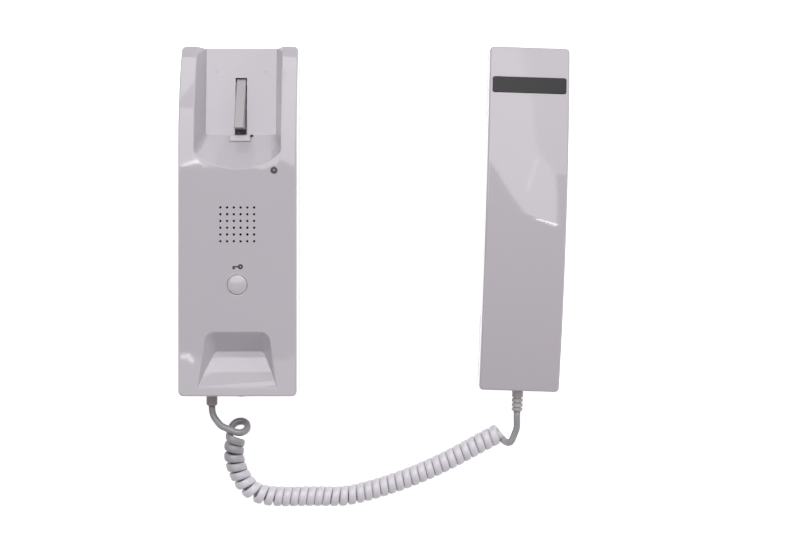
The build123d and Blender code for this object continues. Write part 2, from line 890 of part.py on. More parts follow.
def make_hook_switch(under_plate):
    body = cuboid(
        centred(0, hook_switch_width),
        centred(hook_switch_y, hook_switch_length),
        (lever_pocket_floor, lever_pocket_floor + hook_switch_height),
    )
    bore = hook_plunger_diameter + 2 * pivot_clearance
    bore_floor = lever_pocket_floor + switch_bore_floor
    body -= post(0, hook_switch_y, bore_floor, 2 * hook_switch_height, bore)
    radius = hook_plunger_diameter / 2
    top = under_plate(hook_switch_y + radius / 2) - hook_plunger_gap
    foot = bore_floor + switch_rest_gap + hook_plunger_travel
    plunger = post(0, hook_switch_y, foot, top - radius, hook_plunger_diameter)
    plunger += Pos(0, hook_switch_y, top - radius) * Sphere(radius)
    return body, plunger


def make_door_button():
    radius = button_diameter / 2
    rim = base_depth + button_proud
    flange_top = cover_ceiling - button_clearance
    flange_foot = flange_top - button_flange
    crown = rim + button_dome
    switch_top = board_top + button_switch_height
    stem_foot = switch_top + button_travel + button_stem_gap + button_plunger_gap
    cone_foot = rim - button_skirt - button_flange
    edge = radius - button_edge
    dome_radius = (edge ** 2 + button_dome ** 2) / (2 * button_dome)
    dome_middle = crown - dome_radius + math.sqrt(dome_radius ** 2 - (radius / 2) ** 2)
    outline = [
        Polyline(
            (0, 0, stem_foot),
            (button_stem_diameter / 2, 0, stem_foot),
            (button_stem_diameter / 2, 0, cone_foot),
            (button_flange_diameter / 2, 0, flange_foot),
            (button_flange_diameter / 2, 0, flange_top),
            (radius, 0, flange_top),
            (radius, 0, rim - button_edge_height),
            (edge, 0, rim),
        ),
        ThreePointArc((edge, 0, rim), (radius / 2, 0, dome_middle), (0, 0, crown)),
        Line((0, 0, crown), (0, 0, stem_foot)),
    ]
    return Pos(0, button_y, 0) * revolve(yz_face(outline), Axis.Z), stem_foot


def make_button_switch(stem_foot):
    side = centred(0, button_switch_side)
    top = board_top + button_switch_height
    body = Pos(0, button_y, 0) * cuboid(side, side, (board_top, top))
    body = chamfer(body.edges().filter_by(Axis.Z), button_switch_chamfer)
    bore_floor = board_top + switch_bore_floor
    body -= post(0, button_y, bore_floor, top + 1, button_plunger_diameter + 2 * pivot_clearance)
    foot = bore_floor + switch_rest_gap + button_travel
    plunger = post(0, button_y, foot, stem_foot - button_plunger_gap, button_plunger_diameter)
    return body, plunger


def make_lamp():
    bezel_top = base_depth + bezel_proud
    top = bezel_top - lamp_sunk
    radius = lamp_diameter / 2
    body_low = top - lamp_length
    lamp = post(lamp_x, lamp_y, body_low, top - radius, lamp_diameter)
    lamp += Pos(lamp_x, lamp_y, top - radius) * Sphere(radius)
    for side in (-1, 1):
        leg_x = centred(lamp_x + side * lamp_leg_spacing / 2, lamp_leg)
        lamp += cuboid(leg_x, centred(lamp_y, lamp_leg), (board_top, body_low + lamp_leg))
    bezel = post(lamp_x, lamp_y, bezel_top - bezel_length, bezel_top, bezel_diameter)
    flange = bezel_diameter + 2 * bezel_flange_overhang
    bezel += post(lamp_x, lamp_y, bezel_top - bezel_length, cover_ceiling, flange)
    bore = lamp_diameter + 2 * screw_clearance
    bezel -= post(lamp_x, lamp_y, bezel_top - 2 * bezel_length, sky, bore)
    outer_edge = bezel.edges().filter_by(GeomType.CIRCLE).sort_by(Axis.Z)[-1]
    return lamp, chamfer(outer_edge, bezel_chamfer)


def make_terminal_block():
    low_x, high_x = centred(terminal_x, terminal_depth)
    top = board_top + terminal_height
    span_y = (terminal_low_y, terminal_low_y + terminal_length)
    block = cuboid((low_x, high_x), span_y, (board_top, top))
    block = chamfer(block.edges().filter_by(Axis.Y).sort_by(Axis.Z)[-2:], terminal_chamfer)
    well_floor = top - terminal_well_depth
    screw_top = top - terminal_screw_drop
    mouth_low = board_top + terminal_mouth_foot
    screws = []
    for way in range(terminal_ways):
        y = terminal_low_y + (way + 0.5) * terminal_pitch
        block -= post(terminal_x, y, well_floor, top + 1, terminal_well_diameter)
        block -= cuboid(
            (low_x - 1, low_x + terminal_mouth_depth),
            centred(y, terminal_mouth_width),
            (mouth_low, mouth_low + terminal_mouth_height),
        )
        screw = post(terminal_x, y, well_floor, screw_top, terminal_screw_diameter)
        screws.append(
            screw - cuboid(
                centred(terminal_x, 2 * terminal_screw_diameter),
                centred(y, terminal_screw_slot),
                (screw_top - terminal_screw_slot, top),
            )
        )
    return block, Compound(screws)


def make_header():
    top = board_top + header_height
    middle = Pos(header_x, header_y, 0)
    header = cuboid(centred(0, header_length), centred(0, header_width), (board_top, top))
    header -= cuboid(
        centred(0, header_length - 2 * header_wall),
        centred(0, header_width - 2 * header_wall),
        (board_top + header_floor, top + 1),
    )
    return middle * header


def strain_relief(wall, steps):
    """A moulded relief about the Y axis: flange and neck in the wall, then a sleeve with ring grooves.

    It points to -Y, with the wall's outer face at y = 0. Each step is a length and a diameter.
    """
    flange = gland_flange_diameter / 2
    flange_end = wall + gland_flange_thickness
    neck = gland_neck_diameter / 2
    points = [(0, flange_end), (flange, flange_end), (flange, wall), (neck, wall), (neck, 0)]
    y = 0.0
    for step, diameter in steps:
        points += [(diameter / 2, y), (diameter / 2, y - step)]
        y -= step
    last_radius = points.pop()[0]
    points += [(last_radius, y + gland_end_chamfer), (last_radius - gland_end_chamfer, y), (0, y)]
    outline = Polyline([(x, v, 0) for x, v in points], close=True)
    return revolve(make_face(outline), Axis.Y)


def handset_height(y, drop=0.0):
    """Height of the handset's arched outer face, in the handset's own axes."""
    top = handset_end_height + handset_arch
    sunk = handset_arc_radius - math.sqrt(handset_arc_radius ** 2 - y ** 2)
    return top - sunk - drop


def handset_profile():
    half = handset_half
    ear_grip = (0, ear_pad_grip, handset_height(ear_pad_grip, handset_grip_thickness))
    mouth_grip = (0, -mouth_pad_grip, handset_height(mouth_pad_grip, handset_grip_thickness))
    grip_middle = (0, 0, handset_height(0, handset_grip_thickness))
    low_end, high_end = (0, -half, handset_end_height), (0, half, handset_end_height)
    ear_pad = [(0, half, pad_chamfer), (0, half - pad_chamfer, 0), (0, ear_pad_inner, 0)]
    mouth_pad = [(0, -mouth_pad_inner, 0), (0, pad_chamfer - half, 0), (0, -half, pad_chamfer)]
    return yz_face(
        [
            ThreePointArc(low_end, (0, 0, handset_height(0)), high_end),
            Polyline(high_end, *ear_pad, ear_grip),
            ThreePointArc(ear_grip, grip_middle, mouth_grip),
            Polyline(mouth_grip, *mouth_pad, low_end),
        ]
    )


def above_seam(drop):
    reach = handset_half + 5
    ends = handset_height(reach, drop)
    roof_height = 2 * (handset_end_height + handset_arch)
    low_end, high_end = (0, -reach, ends), (0, reach, ends)
    arc = ThreePointArc(low_end, (0, 0, handset_height(0, drop)), high_end)
    roof = Polyline(high_end, (0, reach, roof_height), (0, -reach, roof_height), low_end)
    return across(yz_face([arc, roof]), handset_width)


def make_handset_form():
    form = across(handset_profile(), handset_width / 2)
    form = fillet(form.edges().filter_by(Axis.Z), handset_corner_radius)
    top_edges = form.edges().filter_by(lambda e: e.bounding_box().min.Z > handset_end_height - 0.5)
    return fillet(top_edges, handset_edge_radius)


def name_plate_block(extra, low, high):
    """A round-cornered block on the plane that touches the handset's face at the name plate."""
    tilt = -math.degrees(math.asin(name_plate_y / handset_arc_radius))
    length = name_plate_length + 2 * extra
    sketch = RectangleRounded(length, name_plate_height + 2 * extra, name_plate_radius + extra)
    block = Pos(0, 0, low) * extrude(sketch, amount=high - low)
    return Pos(0, name_plate_y, handset_height(name_plate_y)) * Rotation(tilt, 0, 0) * block


def make_handset_shells():
    form = make_handset_form()
    inside = offset(handset_profile(), amount=-handset_wall, kind=Kind.INTERSECTION)
    walls = form - across(inside, handset_width / 2 - handset_wall)
    upper = walls & above_seam(handset_seam_depth)
    lower = walls - above_seam(handset_seam_depth + handset_seam_gap)
    ceiling = handset_height(handset_screw_y, handset_wall)
    boss_foot = handset_height(handset_screw_y, handset_seam_depth - handset_boss_overlap)
    bottom = handset_height(handset_screw_y, handset_grip_thickness)
    head_seat = bottom + handset_head_depth
    boss_split = boss_foot - handset_seam_gap
    screw_hole = 2 * screw_hole_radius
    head_hole = screw_head_diameter + 2 * handset_head_clearance
    half_wall = handset_wall / 2
    lower_boss = handset_boss_diameter + 2 * handset_boss_wall
    for y in (-handset_screw_y, handset_screw_y):
        upper += post(0, y, boss_foot, ceiling + half_wall / 2, handset_boss_diameter)
        upper -= post(0, y, boss_foot - 1, ceiling - handset_boss_bore_end, screw_hole)
        lower += post(0, y, bottom + half_wall, boss_split, lower_boss)
        lower -= post(0, y, 0, head_seat, head_hole)
        lower -= post(0, y, 0, boss_split + 1, screw_hole)
    plate_foot = name_plate_proud - name_plate_thickness
    upper -= name_plate_block(name_plate_clearance, plate_foot, handset_wall)
    lower += capsule_rib(receiver_y, receiver_diameter, receiver_rib_height)
    boot_outer = microphone_diameter + 2 * microphone_boot_wall
    lower += capsule_rib(microphone_y, boot_outer, microphone_rib_height)
    through = 2 * handset_wall
    circle = PolarLocations(receiver_hole_circle / 2, receiver_hole_count)
    spots = [spot.position for spot in circle] + [Vector(0, 0, 0)]
    lower -= [post(v.X, receiver_y + v.Y, -1, through, receiver_hole_diameter) for v in spots]
    lower -= post(0, microphone_y, -1, through, microphone_hole_diameter)
    for y in (-weight_rest_y, weight_rest_y):
        span_z = (handset_height(y, handset_grip_thickness) + half_wall, weight_bottom())
        lower += cuboid(centred(0, weight_width), centred(y, weight_rest_thickness), span_z)
    exit_width = gland_neck_diameter + 2 * gland_clearance
    exit_hole = cylinder_along_y(0, -handset_half, boot_height, exit_width, 6 * handset_wall)
    return upper - exit_hole, lower - exit_hole, head_seat


def weight_bottom():
    return handset_height(0, handset_grip_thickness) + handset_wall


def capsule_rib(y, diameter, height):
    inner = diameter + 2 * capsule_rib_clearance
    top = handset_wall + height
    rib = post(0, y, handset_wall / 2, top, inner + 2 * capsule_rib_wall)
    return rib - post(0, y, handset_wall / 2, top, inner)


def make_receiver():
    gasket_top = handset_wall + receiver_gasket_thickness
    capsule_top = gasket_top + receiver_depth
    gasket = post(0, receiver_y, handset_wall, gasket_top, receiver_diameter)
    gasket_hole = receiver_diameter - 2 * receiver_gasket_width
    gasket -= post(0, receiver_y, handset_wall, gasket_top, gasket_hole)
    capsule = post(0, receiver_y, gasket_top, capsule_top, receiver_diameter)
    boss_top = capsule_top + receiver_boss_height
    capsule += post(0, receiver_y, capsule_top, boss_top, receiver_diameter * receiver_boss_share)
    return gasket, capsule


def make_microphone():
    floor = handset_wall + microphone_boot_floor
    top = floor + microphone_depth
    boot = post(0, microphone_y, handset_wall, top, microphone_diameter + 2 * microphone_boot_wall)
    boot -= post(0, microphone_y, floor, top, microphone_diameter + 2 * microphone_clearance)
    boot -= post(0, microphone_y, handset_wall, top, microphone_hole_diameter)
    microphone = post(0, microphone_y, floor, top - microphone_rim_gap, microphone_diameter)
    return boot, microphone


def make_handset_pieces():
    """The handset's nodes in its own axes, by name."""
    upper, lower, head_seat = make_handset_shells()
    plate = name_plate_block(0, name_plate_proud - name_plate_thickness, name_plate_proud)
    plate = fillet(plate.faces().sort_by(Axis.Z)[-1].edges(), name_plate_edge_radius)
    gasket, capsule = make_receiver()
    microphone_boot, microphone = make_microphone()
    weight = cuboid(
        centred(0, weight_width),
        centred(0, weight_length),
        (weight_bottom(), weight_bottom() + weight_thickness),
    )
    weight = chamfer(weight.edges().filter_by(Axis.Z), weight_chamfer)
    screw = Rotation(180, 0, 0) * pan_screw(handset_screw_length)
    screws = [Pos(0, y, head_seat) * screw for y in (-handset_screw_y, handset_screw_y)]
    rings = boot_rings * [(boot_notch, boot_core_diameter), (boot_ring, gland_diameter)]
    relief = strain_relief(handset_wall, [(boot_sleeve, gland_diameter), *rings])
    return {
        "handset_outer_shell": upper,
        "handset_inner_shell": lower,
        "name_plate": plate,
        "receiver_gasket": gasket,
        "receiver_capsule": capsule,
        "microphone_boot": microphone_boot,
        "microphone": microphone,
        "handset_weight": weight,
        "handset_screws": Compound(screws),
        "handset_boot": Pos(0, -handset_half, boot_height) * relief,
    }


def boot_reach():
    return boot_sleeve + boot_rings * (boot_notch + boot_ring)


# The handset lies by its lower end, beside the base's lower end
handset_foot = Pos(handset_foot_x, handset_foot_gap - half_height, 0)
handset_place = handset_foot * Rotation(0, 0, handset_turn_degrees) * Pos(0, handset_half, 0)


def below_base(place):
    """A point given from the middle of the base's bottom end."""
    return Vector(place[0], place[1] - half_height, place[2])


def spline_point(points, span, share):
    """A point of the smooth quadratic curve that the route's points control."""
    start = points[0] if span == 0 else (points[span] + points[span + 1]) / 2
    end = points[-1] if span == len(points) - 3 else (points[span + 1] + points[span + 2]) / 2
    return start * (1 - share) ** 2 + points[span + 1] * 2 * share * (1 - share) + end * share ** 2


class WoundWire:
    """A wire wound left-handed round a curved centre line, sampled finely enough to place its curls."""

    steps_per_span = 60
    tightest_share = 0.6

    def __init__(self, route):
        points = [below_base((x, y, coil_height)) for x, y in route]
        axis = []
        shares = [i / self.steps_per_span for i in range(self.steps_per_span + 1)]
        for span in range(len(points) - 2):
            kept = shares if span == 0 else shares[1:]
            axis += [spline_point(points, span, share) for share in kept]
        self.axis = axis
        self.wire = []
        self.turned = []
        tangents = [(b - a).normalized() for a, b in zip(axis, axis[1:])]
        tangents.append(tangents[-1])
        across_axis = Vector(0, 0, 1) - tangents[0] * tangents[0].Z
        normal = across_axis.normalized()
        angle = math.pi / 2
        for i, (point, tangent) in enumerate(zip(axis, tangents)):
            normal = (normal - tangent * normal.dot(tangent)).normalized()
            side = tangent.cross(normal)
            outward = normal * math.sin(angle) + side * math.cos(angle)
            self.wire.append(point + outward * coil_radius)
            self.turned.append(angle)
            if i + 1 < len(axis):
                step = (axis[i + 1] - point).length
                bend = (tangents[i + 1] - tangent).length / step
                pitch = coil_pitch / (1 - min(bend * coil_radius, self.tightest_share))
                angle += 2 * math.pi * step / pitch

    def at(self, angle):
        """Place and heading of the wire where the winding has turned by an angle."""
        index = next(i for i, turned in enumerate(self.turned) if turned >= angle - 1e-9)
        index = min(max(index, 1), len(self.wire) - 2)
        low, high = self.turned[index - 1], self.turned[index]
        share = (angle - low) / (high - low)
        place = self.wire[index - 1] + (self.wire[index] - self.wire[index - 1]) * share
        heading = self.wire[index + 1] - self.wire[index - 1]
        before = self.wire[index] - self.wire[max(index - 2, 0)]
        return place, (heading * share + before * (1 - share)).normalized()


def biarc(start, start_heading, end, end_heading):
    """Two arcs that join two places and leave and arrive along the given headings."""
    chord = end - start
    both = start_heading + end_heading
    spread = 2 * (1 - start_heading.dot(end_heading))
    along = chord.dot(both)
    reach = (-along + math.sqrt(along ** 2 + spread * chord.dot(chord))) / spread
    joint = (start + end + (start_heading - end_heading) * reach) / 2
    first = Edge.make_tangent_arc(start, start_heading, joint)
    return [first, Edge.make_tangent_arc(joint, first % 1, end)]


def tipped_curl():
    """The first curl, wider than the rest and leaning towards the front, at each quarter turn."""
    lean = math.radians(tipped_curl_lean_degrees)
    along = Vector(0, -math.sin(lean), -math.cos(lean))
    up = Vector(0, -math.cos(lean), math.sin(lean))
    side = along.cross(up)
    states = []
    for quarter in range(4):
        angle = math.radians(tipped_curl_start_degrees + 90 * quarter)
        middle = below_base(tipped_curl_centre) + along * (tipped_curl_pitch * quarter / 4)
        place = middle + (up * math.sin(angle) + side * math.cos(angle)) * tipped_curl_radius
        turning = (up * math.cos(angle) - side * math.sin(angle)) * tipped_curl_radius
        states.append((place, (turning + along * (tipped_curl_pitch / (2 * math.pi))).normalized()))
    return states


def curl_states():
    """Place and heading of the wire through the tipped curl, then at each half turn to the end."""
    wound = WoundWire(coil_route)
    first = wound.turned[0]
    half_turns = int((wound.turned[-1] - first) / math.pi)
    half_turns -= 1 - half_turns % 2
    return [*tipped_curl(), *[wound.at(first + turn * math.pi) for turn in range(half_turns + 1)]]


def make_curly_cord(states):
    """One unbroken faceted tube through all the curls, with a straight end at each side."""
    exit_place, exit_heading = below_base(last_curl_exit), Vector(*last_curl_heading).normalized()
    places = [*states, (exit_place, exit_heading)]
    start, heading = places[0]
    edges = [Edge.make_line(start - heading * wire_diameter, start)]
    for (place, leaving), (target, arriving) in zip(places, places[1:]):
        edges += biarc(place, leaving, target, arriving)
    edges.append(Edge.make_line(exit_place, exit_place + exit_heading * wire_diameter))
    path = Wire(edges)
    section = Plane(origin=edges[0] @ 0, z_dir=heading) * RegularPolygon(wire_diameter / 2, 6)
    tube = sweep(section, path=path, clean=False)
    radii = [edge.radius for edge in edges[1:-1]]
    report_gap(edges)
    print("curls", len(states) // 2 - 1, "smallest arc", round(min(radii), 2))
    print("curly tube length", round(path.length), "volume", round(tube.volume))
    print("section times length", round(section.area * path.length))
    return tube


def report_gap(edges):
    """Prints the least gap between stretches of the wound tube that lie apart along it."""
    samples = []
    run = 0.0
    for edge in edges:
        count = max(2, int(edge.length / 0.7))
        samples += [(run + edge.length * i / count, edge @ (i / count)) for i in range(count)]
        run += edge.length
    least = 1e9
    apart = 2.2 * wire_diameter
    for i, (length_a, a) in enumerate(samples):
        for length_b, b in samples[i + 1:i + 90]:
            if length_b - length_a > apart:
                least = min(least, (b - a).length)
    print("least gap of the wound tube to itself", round(least - wire_diameter, 2))


def lead_tube(points, name):
    """A plain round tube along straight runs joined by arcs as large as the runs allow."""
    runs = [b - a for a, b in zip(points, points[1:])]
    radii = []
    for before, after in zip(runs, runs[1:]):
        half_turn = math.radians(before.get_angle(after)) / 2
        radii.append(0.45 * min(before.length, after.length) / math.tan(half_turn))
    path = FilletPolyline(*points, radius=radii)
    section = Plane(origin=points[0], z_dir=runs[0]) * Circle(wire_diameter / 2)
    tube = sweep(section, path=path)
    print(name, "radii", [round(r, 1) for r in radii], "length", round(path.length, 1))
    print("   volume", round(tube.volume), "section times length", round(section.area * path.length))
    return tube


def base_lead_points(first_curl_top, heading):
    gland_face = Vector(gland_x, -half_height - gland_length, gland_height)
    meeting = first_curl_top - heading * wire_diameter
    approach = meeting - heading * lead_approach * wire_diameter
    return [gland_face, *[below_base(p) for p in base_lead_route], approach, meeting]


def handset_lead_points():
    heading = Vector(*last_curl_heading).normalized()
    leaving = below_base(last_curl_exit) + heading * wire_diameter
    boot_end = handset_place * Pos(0, -handset_half - boot_reach(), boot_height)
    below_boot = boot_end * Pos(0, -wire_diameter, 0)
    return [leaving, leaving + heading * wire_diameter, below_boot.position, boot_end.position]


def make_cord():
    states = curl_states()
    curly = make_curly_cord(states)
    base_lead = lead_tube(base_lead_points(*states[0]), "base lead")
    return base_lead, curly, lead_tube(handset_lead_points(), "handset lead")


os.makedirs("parts", exist_ok=True)

save(make_rear_plate(), "rear_plate")
save(make_front_cover(), "front_cover")
case_screw = Rotation(90, 0, 0) * pan_screw(case_screw_length)
save(Pos(0, -half_height, case_screw_height) * case_screw, "cover_screw")
save(make_circuit_board(), "circuit_board")
board_screw = pan_screw(board_top - board_screw_floor - board_screw_end_gap)
save(Compound([Pos(x, y, board_top) * board_screw for x, y in board_screw_places()]), "board_screws")
capacitor = post(0, capacitor_y, board_top, board_top + capacitor_height, capacitor_diameter)
save(Compound([Pos(side * capacitor_x, 0, 0) * capacitor for side in (-1, 1)]), "capacitors")
block, block_screws = make_terminal_block()
save(block, "terminal_block")
save(block_screws, "terminal_screws")
save(make_header(), "cord_header")
frame, cone, magnet = make_speaker()
save(frame, "speaker_frame")
save(cone, "speaker_cone")
save(magnet, "speaker_magnet")
lamp, bezel = make_lamp()
save(lamp, "indicator_lamp")
save(bezel, "indicator_bezel")
lever, lever_underside = make_hook_lever()
save(lever, "hook_lever")
pin_length = lever_slot_width + 2 * (pivot_lug_gap + pivot_lug_thickness)
pin = cylinder_along_x(0, lever_pivot_y, lever_pivot_height, pivot_pin_diameter, pin_length)
save(pin, "hook_pivot_pin")
switch_body, switch_plunger = make_hook_switch(lever_underside)
save(switch_body, "hook_switch_body")
save(switch_plunger, "hook_switch_plunger")
button, button_foot = make_door_button()
save(button, "door_button")
push_body, push_plunger = make_button_switch(button_foot)
save(push_body, "button_switch_body")
save(push_plunger, "button_switch_plunger")
gland = strain_relief(cover_wall, [(gland_length, gland_diameter)])
save(Pos(gland_x, -half_height, gland_height) * gland, "base_gland")
for name, piece in make_handset_pieces().items():
    save(handset_place * piece, name)
base_lead, curly_cord, handset_lead = make_cord()
save(base_lead, "cord_lead_base")
save(curly_cord, "curly_cord")
save(handset_lead, "cord_lead_handset")
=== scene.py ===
"""Dresses the intercom unit: a wall base, a handset and a curly cord, lying on a white table."""

import logging
import math
from dataclasses import dataclass, field
from enum import Enum
from functools import cache
from typing import Optional, Sequence

import bmesh
import bpy
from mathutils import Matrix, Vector


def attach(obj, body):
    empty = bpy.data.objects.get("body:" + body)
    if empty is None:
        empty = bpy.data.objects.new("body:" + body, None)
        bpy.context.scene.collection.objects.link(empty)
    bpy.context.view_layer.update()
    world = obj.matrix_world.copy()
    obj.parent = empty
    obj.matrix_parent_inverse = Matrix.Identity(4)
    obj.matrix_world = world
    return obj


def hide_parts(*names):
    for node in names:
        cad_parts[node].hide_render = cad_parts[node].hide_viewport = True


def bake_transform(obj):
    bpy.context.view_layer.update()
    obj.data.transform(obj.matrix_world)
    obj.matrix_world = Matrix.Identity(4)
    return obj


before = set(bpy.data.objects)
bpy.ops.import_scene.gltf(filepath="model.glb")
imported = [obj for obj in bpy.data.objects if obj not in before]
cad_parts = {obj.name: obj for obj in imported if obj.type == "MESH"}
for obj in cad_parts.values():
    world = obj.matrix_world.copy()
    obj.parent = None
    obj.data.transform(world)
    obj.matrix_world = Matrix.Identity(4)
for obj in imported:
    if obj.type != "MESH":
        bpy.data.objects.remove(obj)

Point = tuple[float, float, float]
Spot = tuple[float, float]

MM = 0.001
MERGE_DISTANCE = 2e-6
LEAST_EDGE = 1e-7
FLAT_FACE_WEIGHT = 60
LEAST_ROUGHNESS = 0.02
WHITE = (1.0, 1.0, 1.0, 1.0)
log = logging.getLogger("intercom")


def linear_colour(code: str) -> tuple[float, float, float, float]:
    """Turns an sRGB hex colour to the linear one that a shader takes.

    Args:
        code: Colour such as "#c8c4c9".

    Returns:
        Linear red, green, blue and an alpha of one.
    """
    channels = [int(code[i:i + 2], 16) / 255 for i in (1, 3, 5)]
    linear = [c / 12.92 if c <= 0.04045 else ((c + 0.055) / 1.055) ** 2.4 for c in channels]
    return (linear[0], linear[1], linear[2], 1.0)


def add_node(
    tree: bpy.types.NodeTree,
    kind: str,
    settings: Optional[dict] = None,
    inputs: Optional[dict] = None,
) -> bpy.types.Node:
    """Adds one node with its settings and links.

    Args:
        tree: The tree that takes the node.
        kind: The node's type name.
        settings: Attributes of the node.
        inputs: For each input's name or number, a value or the output socket that feeds it.

    Returns:
        The new node.
    """
    node = tree.nodes.new(kind)
    for name, value in (settings or {}).items():
        setattr(node, name, value)
    for name, value in (inputs or {}).items():
        socket = node.inputs[name]
        if isinstance(value, bpy.types.NodeSocket):
            tree.links.new(value, socket)
        else:
            socket.default_value = value
    return node


def shaded(
    tree: bpy.types.NodeTree, colour: bpy.types.NodeSocket, share: bpy.types.NodeSocket
) -> bpy.types.NodeSocket:
    """Multiplies a colour by a share of its brightness.

    Args:
        tree: The material's tree.
        colour: The colour before.
        share: The share that stays, one for all of it.

    Returns:
        The colour after.
    """
    node = add_node(
        tree, "ShaderNodeMix", {"data_type": "RGBA", "blend_type": "MULTIPLY"},
        {"Factor": 1.0, "A": colour, "B": share},
    )
    return node.outputs["Result"]


@dataclass(frozen=True)
class Finish:
    """A surface: its colour, its gloss and the size of its grain in millimetres."""

    name: str
    colour: str
    roughness: float = 0.4
    ior: float = 1.5
    metallic: float = 0.0
    patch_mm: float = 28.0
    patch_depth: float = 0.03
    grain_mm: float = 0.6
    grain_height_mm: float = 0.004
    wave_mm: float = 0.0
    wave_height_mm: float = 0.0
    gloss_spread: float = 0.06

    def make(self) -> bpy.types.Material:
        """Builds the material with its patches, grain and waves.

        Returns:
            The finished material.
        """
        material = bpy.data.materials.new(self.name)
        material.use_nodes = True
        tree = material.node_tree
        shader = tree.nodes["Principled BSDF"]
        shader.inputs["Metallic"].default_value = self.metallic
        shader.inputs["IOR"].default_value = self.ior
        place = add_node(tree, "ShaderNodeTexCoord").outputs["Object"]
        patches = add_node(
            tree, "ShaderNodeTexNoise", {},
            {"Vector": place, "Scale": 1 / (self.patch_mm * MM), "Detail": 3.0, "Roughness": 0.55},
        )
        base = linear_colour(self.colour)
        darker = tuple(c * (1 - self.patch_depth) for c in base[:3]) + (1.0,)
        lighter = tuple(min(1.0, c * (1 + self.patch_depth)) for c in base[:3]) + (1.0,)
        tone = add_node(
            tree, "ShaderNodeMix", {"data_type": "RGBA"},
            {"Factor": patches.outputs["Fac"], "A": darker, "B": lighter},
        )
        colour = self.colour_pattern(tree, place, tone.outputs["Result"])
        tree.links.new(colour, shader.inputs["Base Color"])
        gloss = add_node(
            tree, "ShaderNodeMapRange", {},
            {
                "Value": patches.outputs["Fac"],
                "To Min": max(LEAST_ROUGHNESS, self.roughness - self.gloss_spread / 2),
                "To Max": self.roughness + self.gloss_spread / 2,
            },
        )
        tree.links.new(gloss.outputs["Result"], shader.inputs["Roughness"])
        tree.links.new(self.relief(tree, place), shader.inputs["Normal"])
        return material

    def relief(self, tree: bpy.types.NodeTree, place: bpy.types.NodeSocket) -> bpy.types.NodeSocket:
        """Chains the waves and the grain into one bumped normal.

        Args:
            tree: The material's tree.
            place: The place on the piece.

        Returns:
            The socket with the bumped normal.
        """
        grain = add_node(
            tree, "ShaderNodeTexNoise", {},
            {"Vector": place, "Scale": 1 / (self.grain_mm * MM), "Detail": 2.0},
        )
        bump = add_node(
            tree, "ShaderNodeBump", {},
            {"Strength": 1.0, "Distance": self.grain_height_mm * MM, "Height": grain.outputs["Fac"]},
        )
        if self.wave_mm > 0:
            waves = add_node(
                tree, "ShaderNodeTexNoise", {},
                {"Vector": place, "Scale": 1 / (self.wave_mm * MM), "Detail": 1.0},
            )
            bump = add_node(
                tree, "ShaderNodeBump", {},
                {
                    "Strength": 1.0,
                    "Distance": self.wave_height_mm * MM,
                    "Height": waves.outputs["Fac"],
                    "Normal": bump.outputs["Normal"],
                },
            )
        return bump.outputs["Normal"]

    def colour_pattern(
        self, tree: bpy.types.NodeTree, place: bpy.types.NodeSocket, tone: bpy.types.NodeSocket
    ) -> bpy.types.NodeSocket:
        """Keeps the patched colour as it is; finishes with a pattern change it."""
        return tone


@dataclass(frozen=True)
class SpotMarked(Finish):
    """A moulded surface with faint darker round spots at given places."""

    marks: tuple[Point, ...] = ()
    mark_radius_mm: float = 1.1
    mark_depth: float = 0.12

    def colour_pattern(
        self, tree: bpy.types.NodeTree, place: bpy.types.NodeSocket, tone: bpy.types.NodeSocket
    ) -> bpy.types.NodeSocket:
        """Darkens the colour a little inside each mark.

        Args:
            tree: The material's tree.
            place: The place on the piece.
            tone: The colour without marks.

        Returns:
            The colour with marks.
        """
        colour = tone
        for mark in self.marks:
            away = add_node(
                tree, "ShaderNodeVectorMath", {"operation": "DISTANCE"},
                {0: place, 1: tuple(c * MM for c in mark)},
            )
            inside = add_node(
                tree, "ShaderNodeMapRange", {"interpolation_type": "SMOOTHSTEP"},
                {
                    "Value": away.outputs["Value"],
                    "From Min": self.mark_radius_mm * 0.5 * MM,
                    "From Max": self.mark_radius_mm * 1.3 * MM,
                    "To Min": 1 - self.mark_depth,
                    "To Max": 1.0,
                },
            )
            colour = shaded(tree, colour, inside.outputs["Result"])
        return colour


@dataclass(frozen=True)
class BrushedMetal(Finish):
    """Plated steel with fine turning lines."""

    line_mm: float = 0.25

    def relief(self, tree: bpy.types.NodeTree, place: bpy.types.NodeSocket) -> bpy.types.NodeSocket:
        """Draws the turning lines as ridges.

        Args:
            tree: The material's tree.
            place: The place on the piece.

        Returns:
            The socket with the bumped normal.
        """
        lines = add_node(
            tree, "ShaderNodeTexWave", {"wave_type": "RINGS", "rings_direction": "Z"},
            {"Vector": place, "Scale": 0.2 / (self.line_mm * MM), "Distortion": 2.0, "Detail": 2.0},
        )
        bump = add_node(
            tree, "ShaderNodeBump", {},
            {"Strength": 0.4, "Distance": self.grain_height_mm * MM, "Height": lines.outputs["Fac"]},
        )
        return bump.outputs["Normal"]


